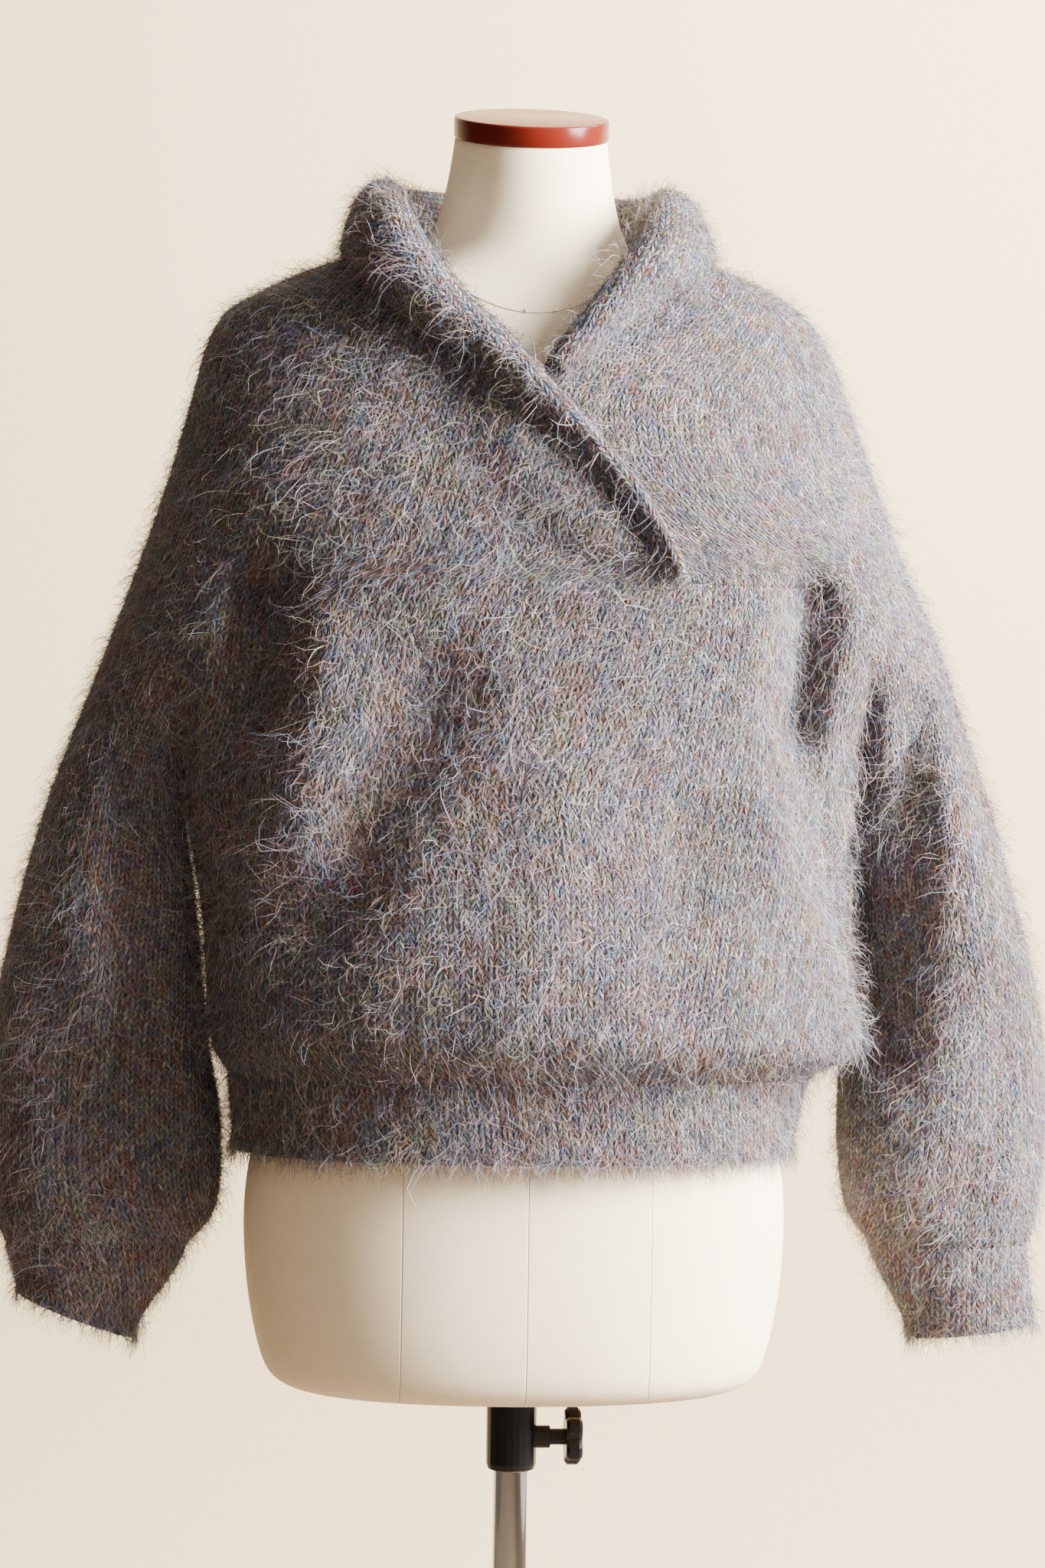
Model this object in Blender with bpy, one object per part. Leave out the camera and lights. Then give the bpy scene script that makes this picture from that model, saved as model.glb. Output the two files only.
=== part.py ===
"""A mohair sweater with a crossed shawl collar, worn on a limbless dress form with its stand.

The front faces -Y, the wearer's right is at -X and the base rests on z = 0.
Sizes in the tables are millimetres, and every mesh is scaled to metres as it is made.
"""

import math

import bpy
import numpy as np

MM = 0.001
FRONT = -1
BACK = 1
LEFT = -1
RIGHT = 1

# The sweater's cloth
WALL = 3.0
SEAM_HALF_GAP = 0.18
SPLIT_Z = 1000.0
BLEND_HEIGHT = 110.0
SADDLE_HALF = 22.0
LAP_START_Z = 1130.0
LAP_RISE = 6.0
LAP_LIFT = 7.0
LAP_RAMP = 42.0
LAP_EDGE_REACH = 1.0

# Rows of the yoke: height at the body's columns, height at the overarm line, spread of the fan
YOKE_ROWS = [
    (1340, 1318, 0.00),
    (1332, 1312, 0.40),
    (1323, 1305, 0.66),
    (1313, 1296, 0.84),
    (1301, 1285, 0.94),
    (1287, 1272, 1.00),
    (1270, 1258, 1.00),
    (1252, 1244, 1.00),
    (1232, 1229, 1.00),
    (1210, 1214, 1.00),
    (1188, 1200, 1.00),
    (1167, 1187, 1.00),
    (1148, 1174, 1.00),
    (1136, 1165, 1.00),
    (1130, 1158, 1.00),
    (1112, 1149, 1.00),
    (1090, 1139, 1.00),
    (1068, 1129, 1.00),
    (1046, 1120, 1.00),
    (1023, 1110, 1.00),
    (1000, 1100, 1.00),
]
BODY_ROWS = [1000, 974, 948, 922, 898, 878, 863, 852, 844, 838, 834]
BAND_ROWS = [834, 812, 787]

# Rows of a sleeve: height at its inner line, height at its outer line
SLEEVE_ROWS = [
    (1000, 1100),
    (984, 1074),
    (962, 1042),
    (936, 1004),
    (905, 962),
    (872, 916),
    (838, 868),
    (804, 822),
    (772, 778),
    (752, 753),
    (738, 738),
    (727, 727),
]

# Height, outer line, inner line or crease, middle y and half depth of each arm
ARM = {
    LEFT: [
        (727, -314, -200, 20, 44),
        (738, -320, -189, 20, 50),
        (752, -323, -182, 20, 55),
        (772, -324, -180, 20, 59),
        (800, -324, -180.5, 20, 61),
        (840, -323, -187, 18, 62),
        (880, -320, -193.5, 14, 62),
        (920, -312, -197, 9, 62),
        (960, -302, -202, 4, 61),
        (1000, -290, -207, 0, 60),
        (1060, -268, -207, 0, 60),
        (1100, -253, -206, 0, 60),
        (1150, -235, -192, 0, 60),
        (1205, -217, -176, 0, 60),
        (1250, -205, -166, 0, 60),
        (1277, -198, -158, 0, 60),
        (1298, -187, -146, 0, 60),
        (1313, -163, -128, 0, 60),
        (1328, -130, -104, 0, 60),
        (1340, -78, -70, 0, 60),
    ],
    RIGHT: [
        (727, 327, 226, 30, 44),
        (738, 331, 217, 30, 50),
        (752, 334, 211, 30, 55),
        (772, 336, 208, 30, 59),
        (800, 337, 206, 30, 61),
        (840, 336, 207, 28, 62),
        (880, 330, 210, 24, 62),
        (920, 319, 212, 14, 62),
        (960, 306, 211, 6, 61),
        (1000, 293, 207, 0, 60),
        (1060, 273, 207, 0, 60),
        (1100, 260, 205, 0, 60),
        (1150, 237, 189, 0, 60),
        (1205, 217, 171, 0, 60),
        (1250, 201, 159, 0, 60),
        (1277, 191, 152, 0, 60),
        (1298, 178, 142, 0, 60),
        (1313, 160, 126, 0, 60),
        (1328, 128, 103, 0, 60),
        (1340, 78, 70, 0, 60),
    ],
}

# Height, depth of the front and of the back from the middle plane
BODY_DEPTH = [
    (787, 123, 124),
    (812, 125, 126),
    (834, 129, 129),
    (844, 137, 134),
    (863, 147, 140),
    (898, 148, 141),
    (948, 140, 135),
    (1000, 136, 128),
    (1080, 136, 122),
    (1130, 135, 120),
    (1170, 131, 116),
    (1205, 124, 110),
    (1235, 115, 102),
    (1260, 105, 94),
    (1280, 95, 88),
    (1298, 85, 82),
    (1313, 77, 76),
    (1328, 69, 71),
    (1340, 62, 67),
]

# Height, then the side edges of the body below the underarm: left and right, front and back
BODY_EDGE = [
    (787, -175, -175, 171, 171),
    (812, -177, -177, 175, 175),
    (834, -179, -178, 181, 180),
    (840, -183, -180, 193, 182),
    (848, -188, -183, 209, 185),
    (858, -190, -185, 213, 187),
    (875, -191, -187, 210, 190),
    (900, -192, -190, 206, 194),
    (925, -194, -192, 203, 197),
    (960, -199, -198, 203, 201),
    (1000, -207, -207, 207, 207),
]

# Height, edge of the upper lap and edge of the front that lies under it
LAP_EDGES = [
    (787, 40, 40),
    (900, 62, 62),
    (1000, 76, 76),
    (1130, 90, 90),
    (1136, 86.5, 88),
    (1148, 80, 58),
    (1167, 70, 28),
    (1188, 56, 6),
    (1210, 40, -7),
    (1232, 22, -9),
    (1252, 4, -3),
    (1261, -3, 4),
    (1270, -10, 10),
    (1287, -24, 22),
    (1301, -38, 34),
    (1313, -49, 44),
    (1323, -58, 53),
    (1332, -67, 63),
    (1340, -74, 74),
]

# Folds: face, start x and z, end x and z, half width and depth, a ridge being below zero
FOLDS = [
    (FRONT, -159, 1126, -166, 1062, 17, 28),
    (FRONT, -178, 1040, -184, 935, 12, 9),
    (FRONT, 166, 1122, 159, 1050, 17, 28),
    (FRONT, 162, 1030, 196, 925, 13, 9),
    (FRONT, -126, 1090, -142, 975, 22, -7),
    (FRONT, -58, 1062, -126, 925, 27, 13),
    (FRONT, 92, 985, 80, 885, 24, 6),
    (FRONT, 20, 1010, -10, 880, 26, -4),
    (FRONT, 138, 1000, 178, 905, 16, -6),
    (FRONT, 238, 1060, 232, 850, 15, 14),
    (FRONT, -232, 1040, -238, 850, 16, 8),
    (FRONT, -285, 900, -262, 770, 18, 7),
    (FRONT, 306, 860, 278, 760, 18, 7),
    (BACK, -162, 1118, -170, 1050, 18, 24),
    (BACK, 162, 1118, 168, 1050, 18, 24),
    (BACK, -70, 1100, -118, 930, 26, 10),
    (BACK, 64, 1080, 110, 915, 26, 9),
    (BACK, 0, 1060, 8, 890, 30, -5),
    (BACK, -240, 1030, -246, 860, 16, 9),
    (BACK, 240, 1030, 244, 860, 16, 9),
]
DEEPEST_FOLD = 0.55

# Cuffs: side, outer end x and z, inner end x and z, middle y and half depth at the lower edge
CUFF_ENDS = {
    LEFT: (-307, 695, -232, 668, 22, 35),
    RIGHT: (333, 677, 252, 668, 32, 35),
}

# Collar stations round the neck: inner foot x, z and face, outer foot x, z and face, crest height
# and the crest's shift to the neck side, as a part of the width
COLLAR_STATIONS = [
    (85, 1137, FRONT, 79.5, 1133, FRONT, 4.5, 0.0),
    (78.5, 1151, FRONT, 72.5, 1146, FRONT, 5, 0.0),
    (63.5, 1177.5, FRONT, 56.5, 1172, FRONT, 6, 0.0),
    (43, 1204, FRONT, 34.5, 1197.5, FRONT, 7, 0.0),
    (21.5, 1229.5, FRONT, 10.5, 1221.5, FRONT, 8.5, 0.0),
    (-0.5, 1253, FRONT, -15, 1242, FRONT, 11, 0.0),
    (-19, 1275.5, FRONT, -39, 1261.5, FRONT, 15, 0.0),
    (-36, 1292, FRONT, -62, 1275, FRONT, 19, 0.0),
    (-51, 1308.5, FRONT, -82, 1289, FRONT, 24, 0.03),
    (-63, 1323, FRONT, -99, 1304.5, FRONT, 30, 0.08),
    (-68, 1329.5, FRONT, -104.5, 1312.5, FRONT, 33, 0.12),
    (-73, 1336, FRONT, -110, 1320, FRONT, 36, 0.17),
    (-77, 1340, FRONT, -113, 1331, FRONT, 40, 0.26),
    (-70, 1340, BACK, -106, 1322, BACK, 46, 0.25),
    (-54, 1340, BACK, -84, 1313, BACK, 51, 0.20),
    (-30, 1340, BACK, -48, 1306, BACK, 55, 0.12),
    (0, 1340, BACK, 0, 1303, BACK, 56, 0.08),
    (30, 1340, BACK, 48, 1306, BACK, 55, 0.12),
    (54, 1340, BACK, 82, 1313, BACK, 49, 0.24),
    (70, 1340, BACK, 104, 1322, BACK, 43, 0.36),
    (77, 1340, FRONT, 112, 1332, FRONT, 38, 0.42),
    (70, 1336, FRONT, 109, 1322, FRONT, 34, 0.30),
    (60, 1326, FRONT, 95, 1309, FRONT, 29, 0.18),
    (47, 1313, FRONT, 76, 1299, FRONT, 24, 0.07),
    (34, 1298, FRONT, 55, 1286, FRONT, 18, 0.02),
    (20, 1280, FRONT, 36, 1270, FRONT, 12, 0.0),
    (9, 1267, FRONT, 21, 1258.5, FRONT, 8, 0.0),
    (5, 1260.5, FRONT, 13.5, 1254, FRONT, 5, 0.0),
]
COLLAR_WALL = 2.4
COLLAR_CLEAR = 1.9
COLLAR_SPAN = 8
COLLAR_FULLNESS = 0.92

# The dress form: height, half width, front, back and how square its section is
FORM_ROWS = [
    (640, 128, -88, 92, 2.2),
    (642, 139, -97, 101, 2.2),
    (647, 149, -104, 109, 2.25),
    (656, 155, -108, 113, 2.3),
    (678, 161, -111, 116, 2.3),
    (708, 166, -112, 118, 2.3),
    (745, 168, -112, 118, 2.3),
    (772, 166, -111, 116, 2.3),
    (795, 161, -109, 113, 2.3),
    (850, 146, -102, 103, 2.2),
    (900, 127, -93, 87, 2.2),
    (940, 118, -88, 78, 2.2),
    (985, 119, -91, 77, 2.2),
    (1035, 127, -103, 81, 2.2),
    (1080, 134, -116, 86, 2.2),
    (1120, 139, -122, 90, 2.2),
    (1160, 143, -117, 93, 2.2),
    (1205, 149, -104, 94, 2.3),
    (1245, 157, -90, 92, 2.4),
    (1270, 160, -80, 86.7, 2.5),
    (1288, 152, -73, 79, 2.4),
    (1302, 130, -67, 71, 2.3),
    (1314, 102, -62, 61, 2.2),
    (1325, 78, -60, 55, 2.1),
    (1338, 63, -59, 49, 2.0),
    (1355, 56, -61, 42, 2.0),
    (1380, 50, -65, 31, 2.0),
    (1407.5, 46.5, -67.7, 21.7, 2.0),
]
NECK_LEAN_FROM = 1325.0
NECK_LEAN = math.radians(16)
FORM_SIDES = 36
CAP_RADIUS = 47.5
CAP_THICKNESS = 11.0

# The stand
BASE_RADIUS = 165.0
HUB_HEIGHT = 46.0
POLE_RADIUS = 11.1
POLE_TOP = 900.0
SOCKET_FLOOR = 8.0
BORE_RADIUS = 12.3
BORE_TOP = 1012.0
RUNNING_GAP = 0.3
CLAMP_RADIUS = 15.5
CLAMP_BOTTOM = 588.5
CLAMP_TOP = 639.7
CLAMP_BORE = 11.6
SCREW_Z = 609.0
BOSS_RADIUS = 7.0
BOSS_END = 23.6
STUD_RADIUS = 3.0
STUD_HOLE = 3.5
KNOB_HUB_RADIUS = 5.0
KNOB_HUB_END = 33.0
KNOB_END = 43.0
KNOB_RADIUS = 18.6
KNOB_WAIST = 13.0
KNOB_LOBES = 5
ROUND_SIDES = 24


def clear_scene():
    """Remove every object of the open scene."""
    for thing in list(bpy.data.objects):
        bpy.data.objects.remove(thing)


def material(name, colour, roughness, metallic=0.0):
    """A Principled material with the part's colour, roughness and metal."""
    made = bpy.data.materials.new(name)
    made.use_nodes = True
    shader = made.node_tree.nodes["Principled BSDF"]
    shader.inputs["Base Color"].default_value = (*colour, 1.0)
    shader.inputs["Roughness"].default_value = roughness
    shader.inputs["Metallic"].default_value = metallic
    return made


def add_object(name, points, faces, finish, origin=(0, 0, 0)):
    """An object of these points, in millimetres, and faces, with its origin at this place."""
    mesh = bpy.data.meshes.new(name)
    places = MM * (np.array(points, float) - np.array(origin, float))
    mesh.from_pydata(places.tolist(), [], [tuple(f) for f in faces])
    mesh.validate()
    mesh.shade_smooth()
    mesh.set_sharp_from_angle(angle=math.radians(40))
    made = bpy.data.objects.new(name, mesh)
    made.location = [MM * c for c in origin]
    made.data.materials.append(finish)
    bpy.context.scene.collection.objects.link(made)
    return made


def add_empty(name, origin):
    """An empty on a joint's axis, for the pieces that move with it."""
    made = bpy.data.objects.new(name, None)
    made.location = [MM * c for c in origin]
    bpy.context.scene.collection.objects.link(made)
    return made


def carry(parent, children):
    """Parent these pieces and keep them where they are."""
    for child in children:
        child.parent = parent
        child.location = child.location - parent.location


def read_table(rows, key):
    """A table's columns at key, on a smooth curve that never overshoots its rows."""
    grid = np.array(rows, float)
    keys, values = grid[:, 0], grid[:, 1:]
    slopes = np.diff(values, axis=0) / np.diff(keys)[:, None]
    same_way = slopes[:-1] * slopes[1:] > 0
    total = np.where(same_way, slopes[:-1] + slopes[1:], 1.0)
    inner = np.where(same_way, 2 * slopes[:-1] * slopes[1:] / total, 0)
    tangents = np.vstack([slopes[:1], inner, slopes[-1:]])
    key = np.clip(np.asarray(key, float), keys[0], keys[-1])
    low = np.clip(np.searchsorted(keys, key) - 1, 0, len(keys) - 2)
    step = (keys[low + 1] - keys[low])[..., None]
    t = (key - keys[low])[..., None] / step
    rise = 3 * t**2 - 2 * t**3
    value = (1 - rise) * values[low] + rise * values[low + 1]
    value = value + step * (t * (1 - t) ** 2 * tangents[low] - t**2 * (1 - t) * tangents[low + 1])
    return np.moveaxis(value, -1, 0)


def smooth_step(t):
    """0 below 0, 1 above 1 and an S-curve between."""
    t = np.clip(t, 0.0, 1.0)
    return t * t * (3 - 2 * t)


def arch(part, power=2.0, root=0.5):
    """Height of a rounded arch over its half span, from 1 at part 0 down to 0 at part 1."""
    return (1 - np.clip(np.abs(part), 0, 1) ** power) ** root


def arch_end(height, power=2.0, root=0.5):
    """Where such an arch is this high."""
    return (1 - height ** (1 / root)) ** (1 / power)


def fold_depth(x, z, face):
    """How far the folds press this place of the cloth in."""
    depth = np.zeros_like(x, float)
    for side, x0, z0, x1, z1, width, deep in FOLDS:
        if side != face:
            continue
        along = ((x - x0) * (x1 - x0) + (z - z0) * (z1 - z0)) / ((x1 - x0) ** 2 + (z1 - z0) ** 2)
        along = np.clip(along, 0, 1)
        away = np.hypot(x - x0 - along * (x1 - x0), z - z0 - along * (z1 - z0))
        depth = depth + deep * np.exp(-((away / width) ** 2))
    return depth


def folded(height, x, z, face):
    """Cloth height over the middle plane with its folds pressed in."""
    return height - np.minimum(fold_depth(x, z, face), DEEPEST_FOLD * height)


def whole_height(x, z, face):
    """Height of the yoke, where body and arms are one round."""
    left, right = read_table(ARM[LEFT], z)[0], read_table(ARM[RIGHT], z)[0]
    middle, half = (left + right) / 2, (right - left) / 2
    depth = read_table(BODY_DEPTH, z)[0 if face == FRONT else 1]
    return depth * arch((x - middle) / half, 2.4, 0.55)


def body_height(x, z, face):
    """Height of the body alone, between its creases or side edges."""
    depth = read_table(BODY_DEPTH, z)[0 if face == FRONT else 1]
    edges = read_table(BODY_EDGE, z)
    left, right = edges[0 if face == FRONT else 1], edges[2 if face == FRONT else 3]
    above = z > SPLIT_Z
    left = np.where(above, read_table(ARM[LEFT], z)[1], left)
    right = np.where(above, read_table(ARM[RIGHT], z)[1], right)
    end = arch_end(SADDLE_HALF / depth, 2.4)
    middle, half = (left + right) / 2, (right - left) / 2
    return depth * arch((x - middle) / half * end, 2.4)


def arm_height(x, z, side):
    """Height of one arm alone over its own middle, between its outer and its inner line."""
    outer, inner, _, depth = read_table(ARM[side], z)
    end = arch_end(SADDLE_HALF / depth)
    half = (inner - outer) / (1 + end)
    return depth * arch((x - outer) / half - 1)


def joined(alone, x, z, face):
    """The yoke above the underarm runs smoothly into the body or arm alone below it."""
    blend = smooth_step((z - SPLIT_Z) / BLEND_HEIGHT)
    return (1 - blend) * alone + blend * whole_height(x, z, face)


def body_points(x, z, face):
    """Points of the body at these places."""
    height = folded(joined(body_height(x, z, face), x, z, face), x, z, face)
    return np.stack([x, face * height, z], axis=-1)


def arm_points(part, spread, z, side, face):
    """Points of an arm at parts of the way from its outer line to its inner line or crease."""
    outer, inner, middle, _ = read_table(ARM[side], z)
    x = outer + part * spread * (inner - outer)
    height = folded(joined(arm_height(x, z, side), x, z, face), x, z, face)
    return np.stack([x, middle + face * height, z], axis=-1)


def arm_parts(count):
    """Parts of the way round half an arm, closer together at its ends."""
    turn = np.linspace(0, 0.9 * math.pi, count + 1)
    return (1 - np.cos(turn)) / (1 - np.cos(turn[-1]))


def edge_parts(count):
    """Parts of the way over the body from its crease, closer together at the crease."""
    t = np.linspace(0, 1, count + 1)
    return 0.5 * t + 0.5 * (1 - np.cos(t * math.pi / 2))


def lap_rise(x, z):
    """How far the upper lap stands off the front that lies under it."""
    under = read_table(LAP_EDGES, z)[1]
    reach = smooth_step((x - under + LAP_RAMP) / LAP_RAMP)
    return LAP_LIFT * reach * np.clip((z - LAP_START_Z) / LAP_RISE, 0, 1)


def yoke_grid(side, face, columns):
    """Yoke over one arm: a row for each height, a column for each place from the overarm line."""
    rows = np.array(YOKE_ROWS, float)
    part = arm_parts(columns)[None, :]
    z = rows[:, 1:2] + part * (rows[:, 0:1] - rows[:, 1:2])
    return arm_points(part, rows[:, 2:3], z, side, face)


def crease_x(side, face, z, spread):
    """The body's outermost x at this height."""
    outer, inner = read_table(ARM[side], z)[:2]
    left_front, left_back, right_front, right_back = read_table(BODY_EDGE, z)
    if side == LEFT:
        edge = left_front if face == FRONT else left_back
    else:
        edge = right_front if face == FRONT else right_back
    return np.where(z < SPLIT_Z, edge, outer + spread * (inner - outer))


def body_heights(rows):
    """Heights and fans of the body's rows, above and below the underarm."""
    yoke = [(row[0], row[2]) for row in YOKE_ROWS]
    below = [(z, 1.0) for z in rows]
    return np.array(yoke + below, float)


def front_grid(side, columns, rows):
    """The front from the crease of one side to the lap's edge or the edge under it."""
    table = body_heights(rows)
    z, spread = table[:, 0:1], table[:, 1:2]
    crease = crease_x(side, FRONT, z, spread)
    edge = read_table(LAP_EDGES, z)[0 if side == LEFT else 1]
    x = crease + edge_parts(columns)[None, :] * (edge - crease)
    points = body_points(x, z + 0 * x, FRONT)
    if side == LEFT:
        points[..., 1] -= lap_rise(x, z + 0 * x)
    return points


def back_grid(columns, rows):
    """The back from crease to crease."""
    table = body_heights(rows)
    z, spread = table[:, 0:1], table[:, 1:2]
    left, right = crease_x(LEFT, BACK, z, spread), crease_x(RIGHT, BACK, z, spread)
    t = np.linspace(-1, 1, columns + 1)[None, :]
    x = (left + right) / 2 + (right - left) / 2 * (0.6 * t + 0.4 * np.sin(t * math.pi / 2))
    return body_points(x, z + 0 * x, BACK)


def side_grid(front_column, back_column, columns):
    """Straight cloth between the front's last column and the back's."""
    t = np.linspace(0, 1, columns + 1)[None, :, None]
    return front_column[:, None] + t * (back_column - front_column)[:, None]


def sleeve_grid(side, columns, inner_columns):
    """A sleeve: rows down the arm, columns from the outer line round the front and back."""
    rows = np.array(SLEEVE_ROWS, float)
    part = arm_parts(columns)[None, :]
    z = rows[:, 1:2] + part * (rows[:, 0:1] - rows[:, 1:2])
    front = arm_points(part, 1.0, z, side, FRONT)
    back = arm_points(part, 1.0, z, side, BACK)[:, ::-1]
    inner = side_grid(front[:, -1], back[:, 0], inner_columns)
    return np.concatenate([front, inner[:, 1:-1], back], axis=1)


def cuff_grid(side, top, rows):
    """A cuff from the sleeve's last row down to its slanting lower edge."""
    outer_x, outer_z, inner_x, inner_z, middle, depth = CUFF_ENDS[side]
    start_x, end_x = top[0, 0], top[len(top) // 2, 0]
    part = (top[:, 0] - start_x) / (end_x - start_x)
    top_middle, top_depth = read_table(ARM[side], SLEEVE_ROWS[-1][0])[2:4]
    low = np.stack([
        outer_x + part * (inner_x - outer_x),
        middle + (top[:, 1] - top_middle) / top_depth * depth,
        outer_z + part * (inner_z - outer_z),
    ], axis=-1)
    t = np.linspace(0, 1, rows + 1)[:, None, None]
    swell = 0.35 * t + 0.65 * smooth_step(t)
    points = top[None] + t * (low - top)[None]
    points[..., :2] = top[None, :, :2] + swell * (low - top)[None, :, :2]
    return points


def body_size(z):
    """Left edge, right edge, front and back depth of the body at this height."""
    edges = read_table(BODY_EDGE, z)
    depth = read_table(BODY_DEPTH, z)
    return edges[0], edges[2], depth[0], depth[1]


def band_grid(ring):
    """The hem band under the body's last row, drawn in to the hips."""
    grid = [ring]
    start = body_size(BAND_ROWS[0])
    for z in BAND_ROWS[1:]:
        size = body_size(z)
        across = np.where(ring[:, 0] < 0, size[0] / start[0], size[1] / start[1])
        deep = np.where(ring[:, 1] < 0, size[2] / start[2], size[3] / start[3])
        level = np.full(len(ring), float(z))
        grid.append(np.stack([ring[:, 0] * across, ring[:, 1] * deep, level], axis=-1))
    return np.array(grid)


def loop_grid(parts):
    """Columns laid one after the other, each sharing its first column with the one before."""
    return np.concatenate([parts[0]] + [p[:, 1:] for p in parts[1:]], axis=1)


def foot(x, z, face):
    """Where a collar foot stands on the cloth, and the cloth's outward normal there."""
    x, z = np.array([float(x)]), np.array([float(z)])
    here = body_points(x, z, face)[0]
    if face == FRONT and x[0] < read_table(LAP_EDGES, z)[0][0] + LAP_EDGE_REACH:
        here[1] -= lap_rise(x, z)[0]
    step = 0.5
    across = body_points(x + step, z, face)[0] - body_points(x - step, z, face)[0]
    up = body_points(x, z + step, face)[0] - body_points(x, z - step, face)[0]
    normal = np.cross(across, up)
    return here, normal * face * np.sign(normal[1]) / np.linalg.norm(normal)


def collar_grid():
    """The collar: a rolled strip of cloth, a row for each station, a column across its roll."""
    turn = np.linspace(0, math.pi, COLLAR_SPAN + 1)
    swing = np.sign(np.cos(turn)) * np.abs(np.cos(turn)) ** COLLAR_FULLNESS
    rise = np.sin(turn) ** COLLAR_FULLNESS
    grid = []
    for x0, z0, face0, x1, z1, face1, height, shift in COLLAR_STATIONS:
        inner, inner_normal = foot(x0, z0, face0)
        outer, outer_normal = foot(x1, z1, face1)
        upright = smooth_step((height - 14) / 40)
        inner = inner + COLLAR_CLEAR * inner_normal + np.array([0, 0, 0.5])
        outer = outer + (COLLAR_CLEAR + 1.5 * COLLAR_WALL * upright) * outer_normal
        outer = outer + np.array([0, 0, COLLAR_WALL * upright])
        middle, half = (inner + outer) / 2, (outer - inner) / 2
        way = (1 - upright) * (inner_normal + outer_normal) / 2 + upright * np.array([0, 0, 1.0])
        crest = height * way / np.linalg.norm(way) - shift * 2 * half * np.array([1, 1, 0])
        grid.append(middle - half * swing[:, None] + crest * rise[:, None])
    return np.array(grid)


class Cloth:
    """Grids of points that share corners, from which walled pieces are cut."""

    def __init__(self):
        self.points = []
        self.index = {}
        self.pieces = {}

    def corner(self, point):
        """The number of this corner, the same for grids that meet there."""
        key = tuple(int(round(c * 20)) for c in point)
        if key not in self.index:
            self.index[key] = len(self.points)
            self.points.append(point)
        return self.index[key]

    def add(self, piece, grid, flip=False, closed=False):
        """Add a grid's faces to a piece, outer side out."""
        rows, columns = grid.shape[:2]
        number = [[self.corner(grid[r, c]) for c in range(columns)] for r in range(rows)]
        last = columns if closed else columns - 1
        for r in range(rows - 1):
            for c in range(last):
                d = (c + 1) % columns
                face = [number[r][c], number[r + 1][c], number[r + 1][d], number[r][d]]
                face = [v for i, v in enumerate(face) if v != face[i - 1]]
                if len(face) > 2:
                    self.pieces.setdefault(piece, []).append(face[::-1] if flip else face)

    def normals(self):
        """Corner normals over all the pieces, so that walls meet cleanly at the seams."""
        points = np.array(self.points)
        normals = np.zeros_like(points)
        for faces in self.pieces.values():
            for face in faces:
                corners = points[face]
                normal = np.cross(corners[2] - corners[0], corners[-1] - corners[1])
                for v in face:
                    normals[v] += normal
        return normals / np.linalg.norm(normals, axis=1)[:, None]

    def walled(self, piece, normals, wall=WALL):
        """Points and faces of one piece with its wall, drawn back a little from its seams.

        A wall face at a seam is split from its lower corner number, so that both pieces match there.
        """
        faces = self.pieces[piece]
        points = np.array(self.points)
        used = sorted({v for face in faces for v in face})
        edges = {}
        for face in faces:
            for i, v in enumerate(face):
                edges[face[i - 1], v] = True
        rim = [(a, b) for a, b in edges if (b, a) not in edges]
        on_rim = {v for edge in rim for v in edge}
        middles = {v: [] for v in on_rim}
        for face in faces:
            for v in face:
                if v in on_rim:
                    middles[v].append(points[face].mean(axis=0))
        outer, inner = {}, {}
        for v in used:
            shift = np.zeros(3)
            if v in on_rim:
                shift = np.mean(middles[v], axis=0) - points[v]
                shift = shift - normals[v] * np.dot(shift, normals[v])
                shift = SEAM_HALF_GAP * shift / max(np.linalg.norm(shift), 1e-6)
            outer[v] = points[v] + shift
            inner[v] = points[v] + shift - wall * normals[v]
        order = {v: i for i, v in enumerate(used)}
        count = len(used)
        made = [[order[v] for v in face] for face in faces]
        made += [[order[v] + count for v in reversed(face)] for face in faces]
        for a, b in rim:
            wall_face = [order[b], order[a], order[a] + count, order[b] + count]
            if a < b:
                wall_face = wall_face[1:] + wall_face[:1]
            made += [wall_face[:3], [wall_face[0], *wall_face[2:]]]
        return [outer[v] for v in used] + [inner[v] for v in used], made


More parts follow.
